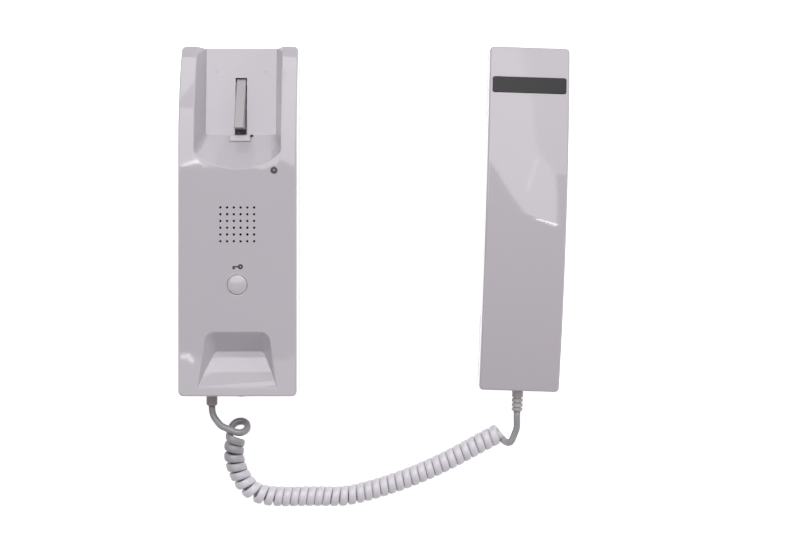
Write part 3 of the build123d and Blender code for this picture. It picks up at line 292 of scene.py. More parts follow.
@dataclass(frozen=True)
class CordJacket(Finish):
    """Extruded soft vinyl with faint die lines that run along the wire, and painted shade on its two ends."""

    line_count: float = 9.0
    line_depth: float = 0.05
    # painted shade: the share of colour left on the leads and the first curl, which lie in the shadow of the base
    # and the handset
    end_shade_share: float = 0.42
    base_end_shade: tuple[float, float] = (5.0, 18.0)
    handset_end_shade: tuple[float, float] = (84.5, 86.5)

    def colour_pattern(
        self, tree: bpy.types.NodeTree, place: bpy.types.NodeSocket, tone: bpy.types.NodeSocket
    ) -> bpy.types.NodeSocket:
        """Adds the die lines round the wire, and darkens its two ends with painted shade where the base and the
        handset shadow them, from the tube's own map.

        Args:
            tree: The material's tree.
            place: The place on the piece.
            tone: The colour without lines.

        Returns:
            The colour with lines.
        """
        wrap = add_node(tree, "ShaderNodeTexCoord").outputs["UV"]
        stretched = add_node(
            tree, "ShaderNodeMapping", {}, {"Vector": wrap, "Scale": (self.line_count, 0.6, 1.0)}
        )
        lines = add_node(
            tree, "ShaderNodeTexNoise", {}, {"Vector": stretched.outputs["Vector"], "Scale": 1.0, "Detail": 3.0}
        )
        level = add_node(
            tree, "ShaderNodeMapRange", {},
            {"Value": lines.outputs["Fac"], "To Min": 1 - self.line_depth, "To Max": 1 + self.line_depth},
        )
        run = add_node(tree, "ShaderNodeSeparateXYZ", {}, {"Vector": wrap}).outputs["Y"]
        colour = shaded(tree, tone, level.outputs["Result"])
        # painted shade on both ends of the wire, fading out along its length
        for start, end, low, high in (
            (*self.base_end_shade, self.end_shade_share, 1.0), (*self.handset_end_shade, 1.0, self.end_shade_share),
        ):
            fade = add_node(
                tree, "ShaderNodeMapRange", {"interpolation_type": "SMOOTHSTEP"},
                {"Value": run, "From Min": start, "From Max": end, "To Min": low, "To Max": high},
            )
            colour = shaded(tree, colour, fade.outputs["Result"])
        return colour


@dataclass(frozen=True)
class SolderMask(Finish):
    """Green lacquer over copper tracks on glass-fibre laminate."""

    track_mm: float = 2.2
    track_colour: str = "#3f8a4c"

    def colour_pattern(
        self, tree: bpy.types.NodeTree, place: bpy.types.NodeSocket, tone: bpy.types.NodeSocket
    ) -> bpy.types.NodeSocket:
        """Lets the tracks show as a lighter green.

        Args:
            tree: The material's tree.
            place: The place on the piece.
            tone: The lacquer's colour over bare laminate.

        Returns:
            The colour with tracks.
        """
        cells = add_node(
            tree, "ShaderNodeTexVoronoi", {"distance": "MANHATTAN", "feature": "F1"},
            {"Vector": place, "Scale": 1 / (2 * self.track_mm * MM), "Randomness": 0.75},
        )
        edge = add_node(
            tree, "ShaderNodeMath", {"operation": "LESS_THAN"}, {0: cells.outputs["Distance"], 1: 0.42}
        )
        mixed = add_node(
            tree, "ShaderNodeMix", {"data_type": "RGBA"},
            {"Factor": edge.outputs["Value"], "A": tone, "B": linear_colour(self.track_colour)},
        )
        return mixed.outputs["Result"]


# ABS from a polished mould: a clear gloss, with long shallow waves where the wall sank as it cooled
COVER_ABS = SpotMarked(
    "cover_glossy_abs", "#c4bec6", roughness=0.03, ior=1.54, patch_mm=45, patch_depth=0.012,
    grain_mm=0.9, grain_height_mm=0.0003, wave_mm=24, wave_height_mm=0.012, gloss_spread=0.012,
    marks=((-15.4, 92.8, 6.6), (15.4, 92.8, 6.6)),
)
HANDSET_ABS = Finish(
    "handset_glossy_abs", "#c3bcc4", roughness=0.03, ior=1.54, patch_mm=50, patch_depth=0.012,
    grain_mm=0.9, grain_height_mm=0.0003, wave_mm=30, wave_height_mm=0.018, gloss_spread=0.012,
)
# The same ABS from a plainer mould, out of sight: softer gloss
HANDSET_INNER_ABS = Finish(
    "handset_inner_abs", "#c0bac1", roughness=0.2, ior=1.54, patch_mm=40, patch_depth=0.015,
    grain_mm=0.7, grain_height_mm=0.001, wave_mm=25, wave_height_mm=0.02,
)
# ABS worn to a satin by the handset that rests on it; its colour is set a shade darker than the cover's
LEVER_ABS = Finish(
    "lever_abs", "#aca7ab", roughness=0.35, ior=1.54, patch_mm=9, patch_depth=0.02,
    grain_mm=0.5, grain_height_mm=0.001,
)
# ABS cap polished by fingers: gloss with a small sink in the middle
BUTTON_ABS = Finish(
    "button_abs", "#c3bec5", roughness=0.2, ior=1.54, patch_mm=9, patch_depth=0.015,
    grain_mm=0.5, grain_height_mm=0.001, wave_mm=6, wave_height_mm=0.004,
)
# ABS from a spark-eroded mould: an even fine texture with a low sheen
PLATE_ABS = Finish(
    "wall_plate_satin_abs", "#c2bcc2", roughness=0.45, ior=1.54, patch_mm=35, patch_depth=0.02,
    grain_mm=0.35, grain_height_mm=0.012,
)
# Printed acrylic foil: near black under a clear gloss
DARK_FOIL = Finish(
    "dark_acrylic_foil", "#1f1d20", roughness=0.2, ior=1.3, patch_mm=12, patch_depth=0.06,
    grain_mm=0.4, grain_height_mm=0.0008,
)
# Pad-printed ink: flat black with uneven cover
SYMBOL_INK = Finish(
    "pad_printed_ink", "#141316", roughness=0.5, ior=1.5, patch_mm=1.5, patch_depth=0.15,
    grain_mm=0.15, grain_height_mm=0.002,
)
# Soft vinyl, injection moulded: a dull sheen and dust in the grooves
RELIEF_VINYL = Finish(
    "relief_grey_vinyl", "#988d90", roughness=0.5, ior=1.52, patch_mm=3, patch_depth=0.1,
    grain_mm=0.4, grain_height_mm=0.006,
)
# The same vinyl in a paler grey
BOOT_VINYL = Finish(
    "boot_grey_vinyl", "#b3adb0", roughness=0.45, ior=1.52, patch_mm=3, patch_depth=0.06,
    grain_mm=0.4, grain_height_mm=0.005,
)
# Extruded soft vinyl: silky, with faint lines of the die along the wire
# its two ends carry painted shade from the base and the handset
CORD_VINYL = CordJacket(
    "cord_soft_vinyl", "#e2dde5", roughness=0.34, ior=1.52, patch_mm=8, patch_depth=0.03,
    grain_mm=0.5, grain_height_mm=0.003,
)
# Turned-looking grey ABS ring: low gloss that catches one highlight
LAMP_BEZEL = Finish(
    "lamp_bezel_grey_abs", "#6d686d", roughness=0.25, ior=1.54, patch_mm=2, patch_depth=0.05,
    grain_mm=0.3, grain_height_mm=0.001,
)
# Cast tinted epoxy: clear gloss over a cloudy body
LAMP_LENS = Finish(
    "lamp_epoxy_lens", "#7d777c", roughness=0.08, ior=1.53, patch_mm=1.2, patch_depth=0.2,
    grain_mm=0.4, grain_height_mm=0.0005,
)
# Screen-printed lacquer: green, satin, copper tracks showing lighter
LAMINATE = SolderMask(
    "board_solder_mask", "#1f5a2c", roughness=0.35, ior=1.55, patch_mm=15, patch_depth=0.08,
    grain_mm=0.5, grain_height_mm=0.006,
)
# Zinc over turned steel: bright, with rings left by the tool
PLATED_STEEL = BrushedMetal(
    "zinc_plated_steel", "#c3c4c6", roughness=0.3, metallic=1.0, patch_mm=2, patch_depth=0.05,
    grain_height_mm=0.004,
)
# Phosphated steel: grey and dull, the rings half hidden
DARK_STEEL = BrushedMetal(
    "phosphated_steel", "#55555a", roughness=0.45, metallic=1.0, patch_mm=8, patch_depth=0.1,
    grain_height_mm=0.006, line_mm=0.4,
)
# Baked enamel on pressed steel: black with a slight orange peel
BASKET_PAINT = Finish(
    "basket_black_enamel", "#232325", roughness=0.4, patch_mm=6, patch_depth=0.06,
    grain_mm=0.5, grain_height_mm=0.006,
)
# Sintered ferrite, ground flat: dark, dry and gritty
FERRITE = Finish(
    "sintered_ferrite", "#2c2c2f", roughness=0.6, patch_mm=3, patch_depth=0.15,
    grain_mm=0.25, grain_height_mm=0.02,
)
# Pressed paper pulp: matt, with a fibrous mottle
CONE_PAPER = Finish(
    "cone_pressed_paper", "#1c1b1d", roughness=0.85, patch_mm=2, patch_depth=0.25,
    grain_mm=0.2, grain_height_mm=0.03,
)
# Closed-cell foam, die cut: fine pores, no sheen
FOAM = Finish(
    "closed_cell_foam", "#232326", roughness=0.9, patch_mm=1, patch_depth=0.2,
    grain_mm=0.3, grain_height_mm=0.05,
)
# Moulded nylon: an even satin that hides the flow of the melt
BLACK_NYLON = Finish(
    "black_nylon", "#1d1d20", roughness=0.42, patch_mm=4, patch_depth=0.1,
    grain_mm=0.3, grain_height_mm=0.006,
)
# The same nylon, dyed green
TERMINAL_NYLON = Finish(
    "green_nylon", "#2f6f4a", roughness=0.42, patch_mm=4, patch_depth=0.06,
    grain_mm=0.3, grain_height_mm=0.006,
)


@cache
def material_of(finish: Finish) -> bpy.types.Material:
    """Gives the finish's material, made on first use."""
    return finish.make()


def object_from(name: str, mesh: bpy.types.Mesh) -> bpy.types.Object:
    """Links a mesh into the scene as an object at the origin."""
    piece = bpy.data.objects.new(name, mesh)
    bpy.context.scene.collection.objects.link(piece)
    return piece


def settle(piece: bpy.types.Object, body: str, finish: Finish) -> bpy.types.Object:
    """Gives a piece its finish and the body that it moves with.

    Args:
        piece: The finished piece, in place.
        body: The body that carries it.
        finish: Its surface.

    Returns:
        The same piece.
    """
    piece.data.materials.clear()
    piece.data.materials.append(material_of(finish))
    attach(piece, body)
    log.info("%s: %d faces on %s", piece.name, len(piece.data.polygons), body)
    return piece


def read_spline(points: Sequence[Vector], resolution: int) -> list[Vector]:
    """Reads the smooth line whose control points are given.

    Args:
        points: Control points in metres.
        resolution: Points for each control point.

    Returns:
        The points along the line.
    """
    data = bpy.data.curves.new("route", "CURVE")
    data.dimensions = "3D"
    spline = data.splines.new("NURBS")
    spline.points.add(len(points) - 1)
    for target, source in zip(spline.points, points):
        target.co = (*source, 1.0)
    spline.order_u = 3
    spline.use_endpoint_u = True
    spline.resolution_u = resolution
    carrier = bpy.data.objects.new("route", data)
    bpy.context.scene.collection.objects.link(carrier)
    bpy.context.view_layer.update()
    mesh = bpy.data.meshes.new_from_object(carrier)
    line = [vertex.co.copy() for vertex in mesh.vertices]
    bpy.data.meshes.remove(mesh)
    bpy.data.objects.remove(carrier)
    bpy.data.curves.remove(data)
    return line


@dataclass
class WireState:
    """Where the wire is, where it heads, and which way faces out of the coil."""

    place: Vector
    heading: Vector
    outward: Vector
    flat: float


@dataclass
class CurlyCord:
    """The cord: a plain lead, a tipped first curl, the coil along the table and a plain lead to the handset."""

    wire_diameter: float = 4.2
    coil_radius: float = 4.5
    coil_pitch: float = 4.95
    strand_width: float = 4.8
    strand_depth: float = 3.7
    squareness: float = 0.42
    steps_per_curl: int = 20
    sides: int = 14
    coil_height: float = 6.72
    route: list[Spot] = field(default_factory=lambda: [
        (-4.0, -136.6), (-4.8, -141.8), (-4.6, -148.0), (-2.4, -155.4), (1.4, -162.4), (7.4, -168.8),
        (16.6, -171.6), (27.9, -171.8), (46.0, -171.5), (64.5, -171.9), (82.5, -167.4), (98.4, -162.3),
        (112.8, -156.6), (125.5, -150.8), (138.2, -144.2), (151.7, -136.7), (163.2, -130.9),
    ])
    gland_face: Point = (-18.1, -115.0, 9.0)
    base_lead: list[Point] = field(default_factory=lambda: [
        (-18.1, -118.2, 9.0), (-16.9, -121.9, 9.8), (-13.6, -125.9, 11.0),
    ])
    tipped_centre: Point = (-1.4, -127.3, 8.6)
    tipped_radius: float = 5.4
    tipped_pitch: float = 6.0
    tipped_lean: float = 41.0
    tipped_start: float = 70.0
    exit_place: Point = (168.4, -136.2, 10.4)
    exit_heading: Point = (0.36, 0.92, 0.10)
    boot_end: Point = (171.27, -118.19, 12.0)
    boot_axis: Point = (-0.0323, -0.9995, 0.0)
    tipped_turns: float = 0.75
    axis_fineness: int = 60
    wire_fineness: int = 3
    tightest_share: float = 0.6
    lead_backs: tuple[float, ...] = (2.2, 1.0)
    lead_flat: float = 0.25
    entry_swing: float = 1.25
    exit_swing: float = 1.2
    blend_start: Point = (12.0, -120.0, 0.0)
    blend_end: Point = (167.5, -120.0, 0.0)

    def tipped_states(self) -> list[WireState]:
        """Works out the wider first curl, which leans towards the front.

        Returns:
            The wire's states along three quarters of a turn.
        """
        lean = math.radians(self.tipped_lean)
        along = Vector((0, -math.sin(lean), -math.cos(lean)))
        up = Vector((0, -math.cos(lean), math.sin(lean)))
        side = along.cross(up)
        steps = round(self.steps_per_curl * self.tipped_turns)
        states = []
        for step in range(steps + 1):
            share = step / self.steps_per_curl
            angle = math.radians(self.tipped_start) + 2 * math.pi * share
            outward = up * math.sin(angle) + side * math.cos(angle)
            place = Vector(self.tipped_centre) + along * self.tipped_pitch * share + outward * self.tipped_radius
            turning = (up * math.cos(angle) - side * math.sin(angle)) * self.tipped_radius
            heading = (turning + along * (self.tipped_pitch / (2 * math.pi))).normalized()
            states.append(WireState(place, heading, outward, 0.5 + 0.5 * share))
        return states

    def wound_states(self) -> list[WireState]:
        """Winds the wire left-handed round the smooth line of the route.

        Returns:
            The wire's states, the same share of a turn apart.
        """
        axis = read_spline([Vector((x, y, self.coil_height)) for x, y in self.route], self.axis_fineness)
        tangents = [(b - a).normalized() for a, b in zip(axis, axis[1:])]
        tangents.append(tangents[-1])
        normal = Vector((0, 0, 1))
        angle = math.pi / 2
        samples: list[tuple[float, Vector, Vector]] = []
        for i, (point, tangent) in enumerate(zip(axis, tangents)):
            normal = (normal - tangent * normal.dot(tangent)).normalized()
            outward = normal * math.sin(angle) + tangent.cross(normal) * math.cos(angle)
            samples.append((angle, point + outward * self.coil_radius, outward))
            if i + 1 < len(axis):
                step = (axis[i + 1] - point).length
                bend = (tangents[i + 1] - tangent).length / step
                share = 1 - min(bend * self.coil_radius, self.tightest_share)
                angle += 2 * math.pi * step * share / self.coil_pitch
        first = samples[0][0]
        half_turns = int((samples[-1][0] - first) / math.pi)
        half_turns -= 1 - half_turns % 2
        turn_step = 2 * math.pi / self.steps_per_curl
        count = round(half_turns * self.steps_per_curl / 2)
        states = []
        index = 0
        for step in range(count + 1):
            wanted = first + step * turn_step
            while index + 2 < len(samples) and samples[index + 1][0] < wanted:
                index += 1
            low, high = samples[index], samples[index + 1]
            share = (wanted - low[0]) / (high[0] - low[0])
            place = low[1].lerp(high[1], share)
            states.append(WireState(place, (high[1] - low[1]).normalized(), low[2].lerp(high[2], share), 1.0))
        return states

    @staticmethod
    def bridge(before: WireState, after: WireState, count: int, sag: float = 1.0) -> list[WireState]:
        """Joins two states with a smooth bend.

        Args:
            before: The state that the bend leaves.
            after: The state that it reaches.
            count: How many states lie between them.
            sag: How far the bend swings out.

        Returns:
            The states between, without the two ends.
        """
        reach = (after.place - before.place).length * sag
        states = []
        for step in range(1, count + 1):
            t = step / (count + 1)
            place = (
                before.place * (2 * t ** 3 - 3 * t ** 2 + 1)
                + before.heading * reach * (t ** 3 - 2 * t ** 2 + t)
                + after.place * (3 * t ** 2 - 2 * t ** 3)
                + after.heading * reach * (t ** 3 - t ** 2)
            )
            outward = before.outward.lerp(after.outward, t)
            if outward.length < 0.1:
                outward = Vector((0, 0, 1))
            flat = before.flat + (after.flat - before.flat) * t
            states.append(WireState(place, before.heading.lerp(after.heading, t), outward, flat))
        return states

    def states(self) -> list[WireState]:
        """Lines up every stretch of the wire from the base to the handset.

        Returns:
            The control states of the whole wire, in millimetres.
        """
        tipped = self.tipped_states()
        wound = self.wound_states()
        start = tipped[0]
        up = Vector((0, 0, 1))
        lead = [WireState(Vector(self.gland_face), Vector((0, -1, 0)), up, 0.0)]
        lead += [WireState(Vector(p), Vector((0, -1, 0)), up, 0.0) for p in self.base_lead]
        for back in self.lead_backs:
            place = start.place - start.heading * self.wire_diameter * back
            lead.append(WireState(place, start.heading, start.outward, self.lead_flat))
        out = Vector(self.exit_heading).normalized()
        leaving = WireState(Vector(self.exit_place), out, up, 0.0)
        boot = Vector(self.boot_end)
        boot_axis = Vector(self.boot_axis).normalized()
        tail = [leaving]
        tail += [WireState(leaving.place + out * self.wire_diameter * k, out, up, 0.0) for k in (1.0, 2.0)]
        tail.append(WireState(boot + boot_axis * self.wire_diameter, -boot_axis, up, 0.0))
        tail.append(WireState(boot, -boot_axis, up, 0.0))
        quarter = self.steps_per_curl // 4
        return [
            *lead, *tipped, *self.bridge(tipped[-1], wound[0], quarter * 2, self.entry_swing), *wound,
            *self.bridge(wound[-1], leaving, quarter, self.exit_swing), *tail,
        ]

    def build(self) -> bpy.types.Object:
        """Sweeps the strand's section along the wire.

        Returns:
            The cord's mesh object.
        """
        states = self.states()
        line = read_spline([s.place * MM for s in states], self.wire_fineness)
        guides = read_spline([s.outward for s in states], self.wire_fineness)
        flats = read_spline([Vector((s.flat, 0, 0)) for s in states], self.wire_fineness)
        verts: list[Vector] = []
        for i, point in enumerate(line):
            ahead = line[min(i + 1, len(line) - 1)] - line[max(i - 1, 0)]
            tangent = ahead.normalized()
            outward = (guides[i] - tangent * guides[i].dot(tangent)).normalized()
            side = tangent.cross(outward)
            flat = min(max(flats[i].x, 0.0), 1.0)
            half_width = (self.wire_diameter + (self.strand_width - self.wire_diameter) * flat) / 2 * MM
            half_depth = (self.wire_diameter + (self.strand_depth - self.wire_diameter) * flat) / 2 * MM
            for k in range(self.sides):
                angle = 2 * math.pi * k / self.sides
                square = 1 - self.squareness * flat
                c, s = math.cos(angle), math.sin(angle)
                x = math.copysign(abs(c) ** square, c) * half_depth
                y = math.copysign(abs(s) ** square, s) * half_width
                verts.append(point + outward * x + side * y)
        n = self.sides
        faces = [
            (i * n + k, i * n + (k + 1) % n, (i + 1) * n + (k + 1) % n, (i + 1) * n + k)
            for i in range(len(line) - 1)
            for k in range(n)
        ]
        faces.append(tuple(reversed(range(n))))
        faces.append(tuple((len(line) - 1) * n + k for k in range(n)))
        mesh = bpy.data.meshes.new("curly_cord_jacket")
        mesh.from_pydata([tuple(v) for v in verts], [], faces)
        wrap = mesh.uv_layers.new(name="wrap")
        turn = math.pi * self.wire_diameter * MM
        runs = [0.0]
        for a, b in zip(line, line[1:]):
            runs.append(runs[-1] + (b - a).length)
        for polygon in mesh.polygons:
            polygon.use_smooth = len(polygon.vertices) == 4
            for corner, vertex in zip(polygon.loop_indices, polygon.vertices):
                ring, k = divmod(vertex, n)
                wraps = k == 0 and max(v % n for v in polygon.vertices) == n - 1
                wrap.data[corner].uv = ((n if wraps else k) / n, runs[ring] / turn)
        piece = object_from("curly_cord_wire", mesh)
        piece.data.materials.append(material_of(CORD_VINYL))
        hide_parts("cord_lead_base", "curly_cord", "cord_lead_handset")
        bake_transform(piece)
        return piece


class Edges(Enum):
    """How the edges of a copied piece are shaded."""

    CRISP = 25.0
    MOULDED = 38.0
    SOFT = 60.0


@dataclass(frozen=True)
class Lowering:
    """A raised part of a casting whose top is brought down, as on the real moulding."""

    low: Point
    high: Point
    drop: float

    def apply(self, shell: bmesh.types.BMesh) -> None:
        """Brings down the corners inside the box.

        Args:
            shell: The casting's mesh, in metres.
        """
        for vert in shell.verts:
            if all(a * MM <= c <= b * MM for a, c, b in zip(self.low, vert.co, self.high)):
                vert.co.z -= self.drop * MM


@dataclass
class Casting:
    """A piece whose shape is the solid's: its copy gets merged corners, smooth curves and a finish."""

    node: str
    name: str
    body: str
    finish: Finish
    slot: str
    edges: Edges = Edges.MOULDED
    lowered: tuple[Lowering, ...] = ()

    def build(self) -> bpy.types.Object:
        """Copies the solid's mesh and shades it.

        Returns:
            The dressed piece.
        """
        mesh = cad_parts[self.node].data.copy()
        mesh.name = self.name
        if "custom_normal" in mesh.attributes:
            mesh.attributes.remove(mesh.attributes["custom_normal"])
        shell = bmesh.new()
        shell.from_mesh(mesh)
        bmesh.ops.remove_doubles(shell, verts=shell.verts, dist=MERGE_DISTANCE)
        bmesh.ops.dissolve_degenerate(shell, edges=shell.edges, dist=LEAST_EDGE)
        for lowering in self.lowered:
            lowering.apply(shell)
        limit = math.radians(self.edges.value)
        for face in shell.faces:
            face.smooth = True
        for edge in shell.edges:
            edge.smooth = edge.calc_face_angle(math.pi) < limit
        shell.to_mesh(mesh)
        shell.free()
        piece = object_from(self.name, mesh)
        weighted = piece.modifiers.new("flat faces stay flat", "WEIGHTED_NORMAL")
        weighted.keep_sharp = True
        weighted.weight = FLAT_FACE_WEIGHT
        settle(piece, self.body, self.finish)
        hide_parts(self.node)
        return piece


class HolePattern(Enum):
    """How a set of holes is laid out."""

    GRID = "grid"
    RING = "ring"


@dataclass
class HoleRims:
    """Rounded rims round a set of moulded holes, set out by a rule."""

    name: str
    pattern: HolePattern
    centre: Point
    hole_diameter: float
    rim: float
    count: int
    spacing: float
    body: str
    finish: Finish
    slot: str
    ring_steps: int = 18
    section_steps: int = 6
    outset: float = 0.6

    def tree(self) -> bpy.types.NodeTree:
        """Builds the node tree that sets a rim at each hole.

        Returns:
            The geometry tree.
        """
        tree = bpy.data.node_groups.new(self.name, "GeometryNodeTree")
        for label in ("Hole Radius", "Rim Radius", "Spacing"):
            tree.interface.new_socket(label, in_out="INPUT", socket_type="NodeSocketFloat")
        tree.interface.new_socket("Count", in_out="INPUT", socket_type="NodeSocketInt")
        tree.interface.new_socket("Centre", in_out="INPUT", socket_type="NodeSocketVector")
        tree.interface.new_socket("Finish", in_out="INPUT", socket_type="NodeSocketMaterial")
        tree.interface.new_socket("Rims", in_out="OUTPUT", socket_type="NodeSocketGeometry")
        given = add_node(tree, "NodeGroupInput").outputs
        if self.pattern is HolePattern.GRID:
            less = add_node(tree, "ShaderNodeMath", {"operation": "SUBTRACT"}, {0: given["Count"], 1: 1.0})
            span = add_node(
                tree, "ShaderNodeMath", {"operation": "MULTIPLY"}, {0: less.outputs[0], 1: given["Spacing"]}
            )
            spots = add_node(
                tree, "GeometryNodeMeshGrid", {},
                {"Size X": span.outputs[0], "Size Y": span.outputs[0],
                 "Vertices X": given["Count"], "Vertices Y": given["Count"]},
            ).outputs["Mesh"]
        else:
            spots = add_node(
                tree, "GeometryNodeMeshCircle", {}, {"Vertices": given["Count"], "Radius": given["Spacing"]}
            ).outputs["Mesh"]
        ring = add_node(
            tree, "GeometryNodeCurvePrimitiveCircle", {},
            {"Resolution": self.ring_steps, "Radius": given["Hole Radius"]},
        )
        section = add_node(
            tree, "GeometryNodeCurvePrimitiveCircle", {},
            {"Resolution": self.section_steps, "Radius": given["Rim Radius"]},
        )
        rim = add_node(
            tree, "GeometryNodeCurveToMesh", {},
            {"Curve": ring.outputs["Curve"], "Profile Curve": section.outputs["Curve"]},
        )
        placed = add_node(
            tree, "GeometryNodeInstanceOnPoints", {}, {"Points": spots, "Instance": rim.outputs["Mesh"]}
        )
        moved = add_node(
            tree, "GeometryNodeTransform", {},
            {"Geometry": placed.outputs["Instances"], "Translation": given["Centre"]},
        )
        real = add_node(tree, "GeometryNodeRealizeInstances", {}, {"Geometry": moved.outputs["Geometry"]})
        smooth = add_node(tree, "GeometryNodeSetShadeSmooth", {}, {"Geometry": real.outputs["Geometry"]})
        dressed = add_node(
            tree, "GeometryNodeSetMaterial", {},
            {"Geometry": smooth.outputs["Geometry"], "Material": given["Finish"]},
        )
        add_node(tree, "NodeGroupOutput", {}, {"Rims": dressed.outputs["Geometry"]})
        return tree

    def build(self) -> bpy.types.Object:
        """Runs the tree and turns its result into a plain mesh.

        Returns:
            The rims as one piece.
        """
        tree = self.tree()
        values = {
            "Hole Radius": (self.hole_diameter / 2 + self.rim * self.outset) * MM,
            "Rim Radius": self.rim * MM,
            "Spacing": self.spacing * MM,
            "Count": self.count,
            "Centre": tuple(c * MM for c in self.centre),
            "Finish": material_of(self.finish),
        }
        return run_tree(self.name, tree, values, self.body, self.finish)


def run_tree(
    name: str, tree: bpy.types.NodeTree, values: dict, body: str, finish: Finish
) -> bpy.types.Object:
    """Evaluates a geometry tree into a plain mesh that rides on a body.

    Args:
        name: The piece's name.
        tree: The geometry tree.
        values: A value for each named input.
        body: The body that carries the piece.
        finish: Its surface.

    Returns:
        The piece, with no modifier left.
    """
    carrier = object_from(name + "_tree", bpy.data.meshes.new(name + "_seed"))
    modifier = carrier.modifiers.new("pattern", "NODES")
    modifier.node_group = tree
    for item in tree.interface.items_tree:
        if item.in_out == "INPUT" and item.name in values:
            modifier[item.identifier] = values[item.name]
    carrier.update_tag()
    bpy.context.view_layer.update()
    evaluated = carrier.evaluated_get(bpy.context.evaluated_depsgraph_get())
    mesh = bpy.data.meshes.new_from_object(evaluated)
    mesh.name = name
    carrier.modifiers.clear()
    bpy.data.objects.remove(carrier)
    return settle(object_from(name, mesh), body, finish)


@dataclass
class KeySymbol:
    """The printed key above the door button: a bow, a shaft and a bit."""

    bow_x: float = 1.95
    bow_y: float = -28.75
    bow_radius: float = 1.6
    bow_hole: float = 0.4
    tip_x: float = -2.95
    shaft: float = 0.9
    bit_width: float = 1.6
    bit_drop: float = 1.1
    face_height: float = 30.0
    ink: float = 0.02
    clearance: float = 0.005
    shoulder: float = 0.03
    edge: float = 0.04
    ring_steps: int = 40
    shaft_reach: float = 0.85

    def build(self) -> bpy.types.Object:
        """Lays the symbol's ink on the cover.

        Returns:
            The printed symbol.
        """
        ink = bmesh.new()
        low = (self.face_height + self.clearance) * MM
        self._ring(ink, low)
        shaft_end = self.bow_x - self.bow_radius * self.shaft_reach
        self._bar(ink, self.tip_x, shaft_end, self.bow_y - self.shaft / 2, self.bow_y + self.shaft / 2, low)
        top = self.bow_y - self.shaft / 2
        self._bar(ink, self.tip_x, self.tip_x + self.bit_width, top - self.bit_drop, top + self.ink, low)
        mesh = bpy.data.meshes.new("door_key_symbol")
        ink.to_mesh(mesh)
        ink.free()
        return settle(object_from("door_key_symbol", mesh), "base", SYMBOL_INK)

    def _ring(self, ink: bmesh.types.BMesh, low: float) -> None:
        """Adds the bow as a flat ring with rounded shoulders."""
        rings = []
        thick = self.ink * MM
        profile = (
            (self.bow_hole, 0.0), (self.bow_hole + self.shoulder, thick),
            (self.bow_radius - self.shoulder, thick), (self.bow_radius, 0.0),
        )
        steps = self.ring_steps
        for radius, height in profile:
            rings.append([
                ink.verts.new((
                    (self.bow_x + radius * math.cos(2 * math.pi * k / steps)) * MM,
                    (self.bow_y + radius * math.sin(2 * math.pi * k / steps)) * MM,
                    low + height,
                ))
                for k in range(steps)
            ])
        for inner, outer in zip(rings, rings[1:] + rings[:1]):
            for k in range(steps):
                after = (k + 1) % steps
                ink.faces.new((inner[k], outer[k], outer[after], inner[after]))

    def _bar(self, ink: bmesh.types.BMesh, x0: float, x1: float, y0: float, y1: float, low: float) -> None:
        """Adds one straight bar of ink with softened edges."""
        corners = []
        for inset, height in ((0.0, 0.0), (self.edge, self.ink * MM)):
            corners.append([
                ink.verts.new((x * MM, y * MM, low + height))
                for x, y in (
                    (x0 + inset, y0 + inset), (x1 - inset, y0 + inset),
                    (x1 - inset, y1 - inset), (x0 + inset, y1 - inset),
                )
            ])
        foot, top = corners
        ink.faces.new(top)
        ink.faces.new(list(reversed(foot)))
        for k in range(4):
            after = (k + 1) % 4
            ink.faces.new((foot[k], foot[after], top[after], top[k]))


@dataclass
class Base:
    """The wall base: its cover, plate, lever, button, lamp and everything inside."""

    castings: list[Casting] = field(default_factory=lambda: [
        Casting(
            "front_cover", "cover_shell", "base", COVER_ABS, "cover_plastic",
            lowered=(Lowering((-6.6, 48.4, 18.5), (6.6, 52.9, 20.0), 4.2),),
        ),
        Casting("rear_plate", "wall_plate", "base", PLATE_ABS, "plate_plastic", Edges.CRISP),
        Casting("cover_screw", "cover_fixing", "base", PLATED_STEEL, "steel_screw"),
        Casting("hook_lever", "hook_lever_shell", "hook_lever", LEVER_ABS, "lever_plastic"),
        Casting("door_button", "door_button_cap", "door_button", BUTTON_ABS, "lever_plastic"),
        Casting("indicator_bezel", "lamp_bezel", "base", LAMP_BEZEL, "bezel_black"),
        Casting("indicator_lamp", "lamp_lens", "base", LAMP_LENS, "lamp_lens", Edges.SOFT),
        Casting("base_gland", "base_relief", "base", RELIEF_VINYL, "relief_rubber"),
    ])
    inner: dict[str, Finish] = field(default_factory=lambda: {
        "circuit_board": LAMINATE,
        "board_screws": PLATED_STEEL,
        "capacitors": BLACK_NYLON,
        "terminal_block": TERMINAL_NYLON,
        "terminal_screws": PLATED_STEEL,
        "cord_header": BLACK_NYLON,
        "speaker_frame": BASKET_PAINT,
        "speaker_cone": CONE_PAPER,
        "speaker_magnet": FERRITE,
        "hook_switch_body": BLACK_NYLON,
        "hook_switch_plunger": BLACK_NYLON,
        "hook_pivot_pin": PLATED_STEEL,
        "button_switch_body": BLACK_NYLON,
        "button_switch_plunger": BLACK_NYLON,
    })

    def build(self) -> None:
        """Builds the base's pieces."""
        for casting in self.castings:
            casting.build()
        dress_nodes(self.inner)
        HoleRims(
            "grille_rims", HolePattern.GRID, (0.0, -3.0, 29.965), 1.5, 0.06, 6, 4.1, "base",
            COVER_ABS, "cover_plastic",
        ).build()
        KeySymbol().build()


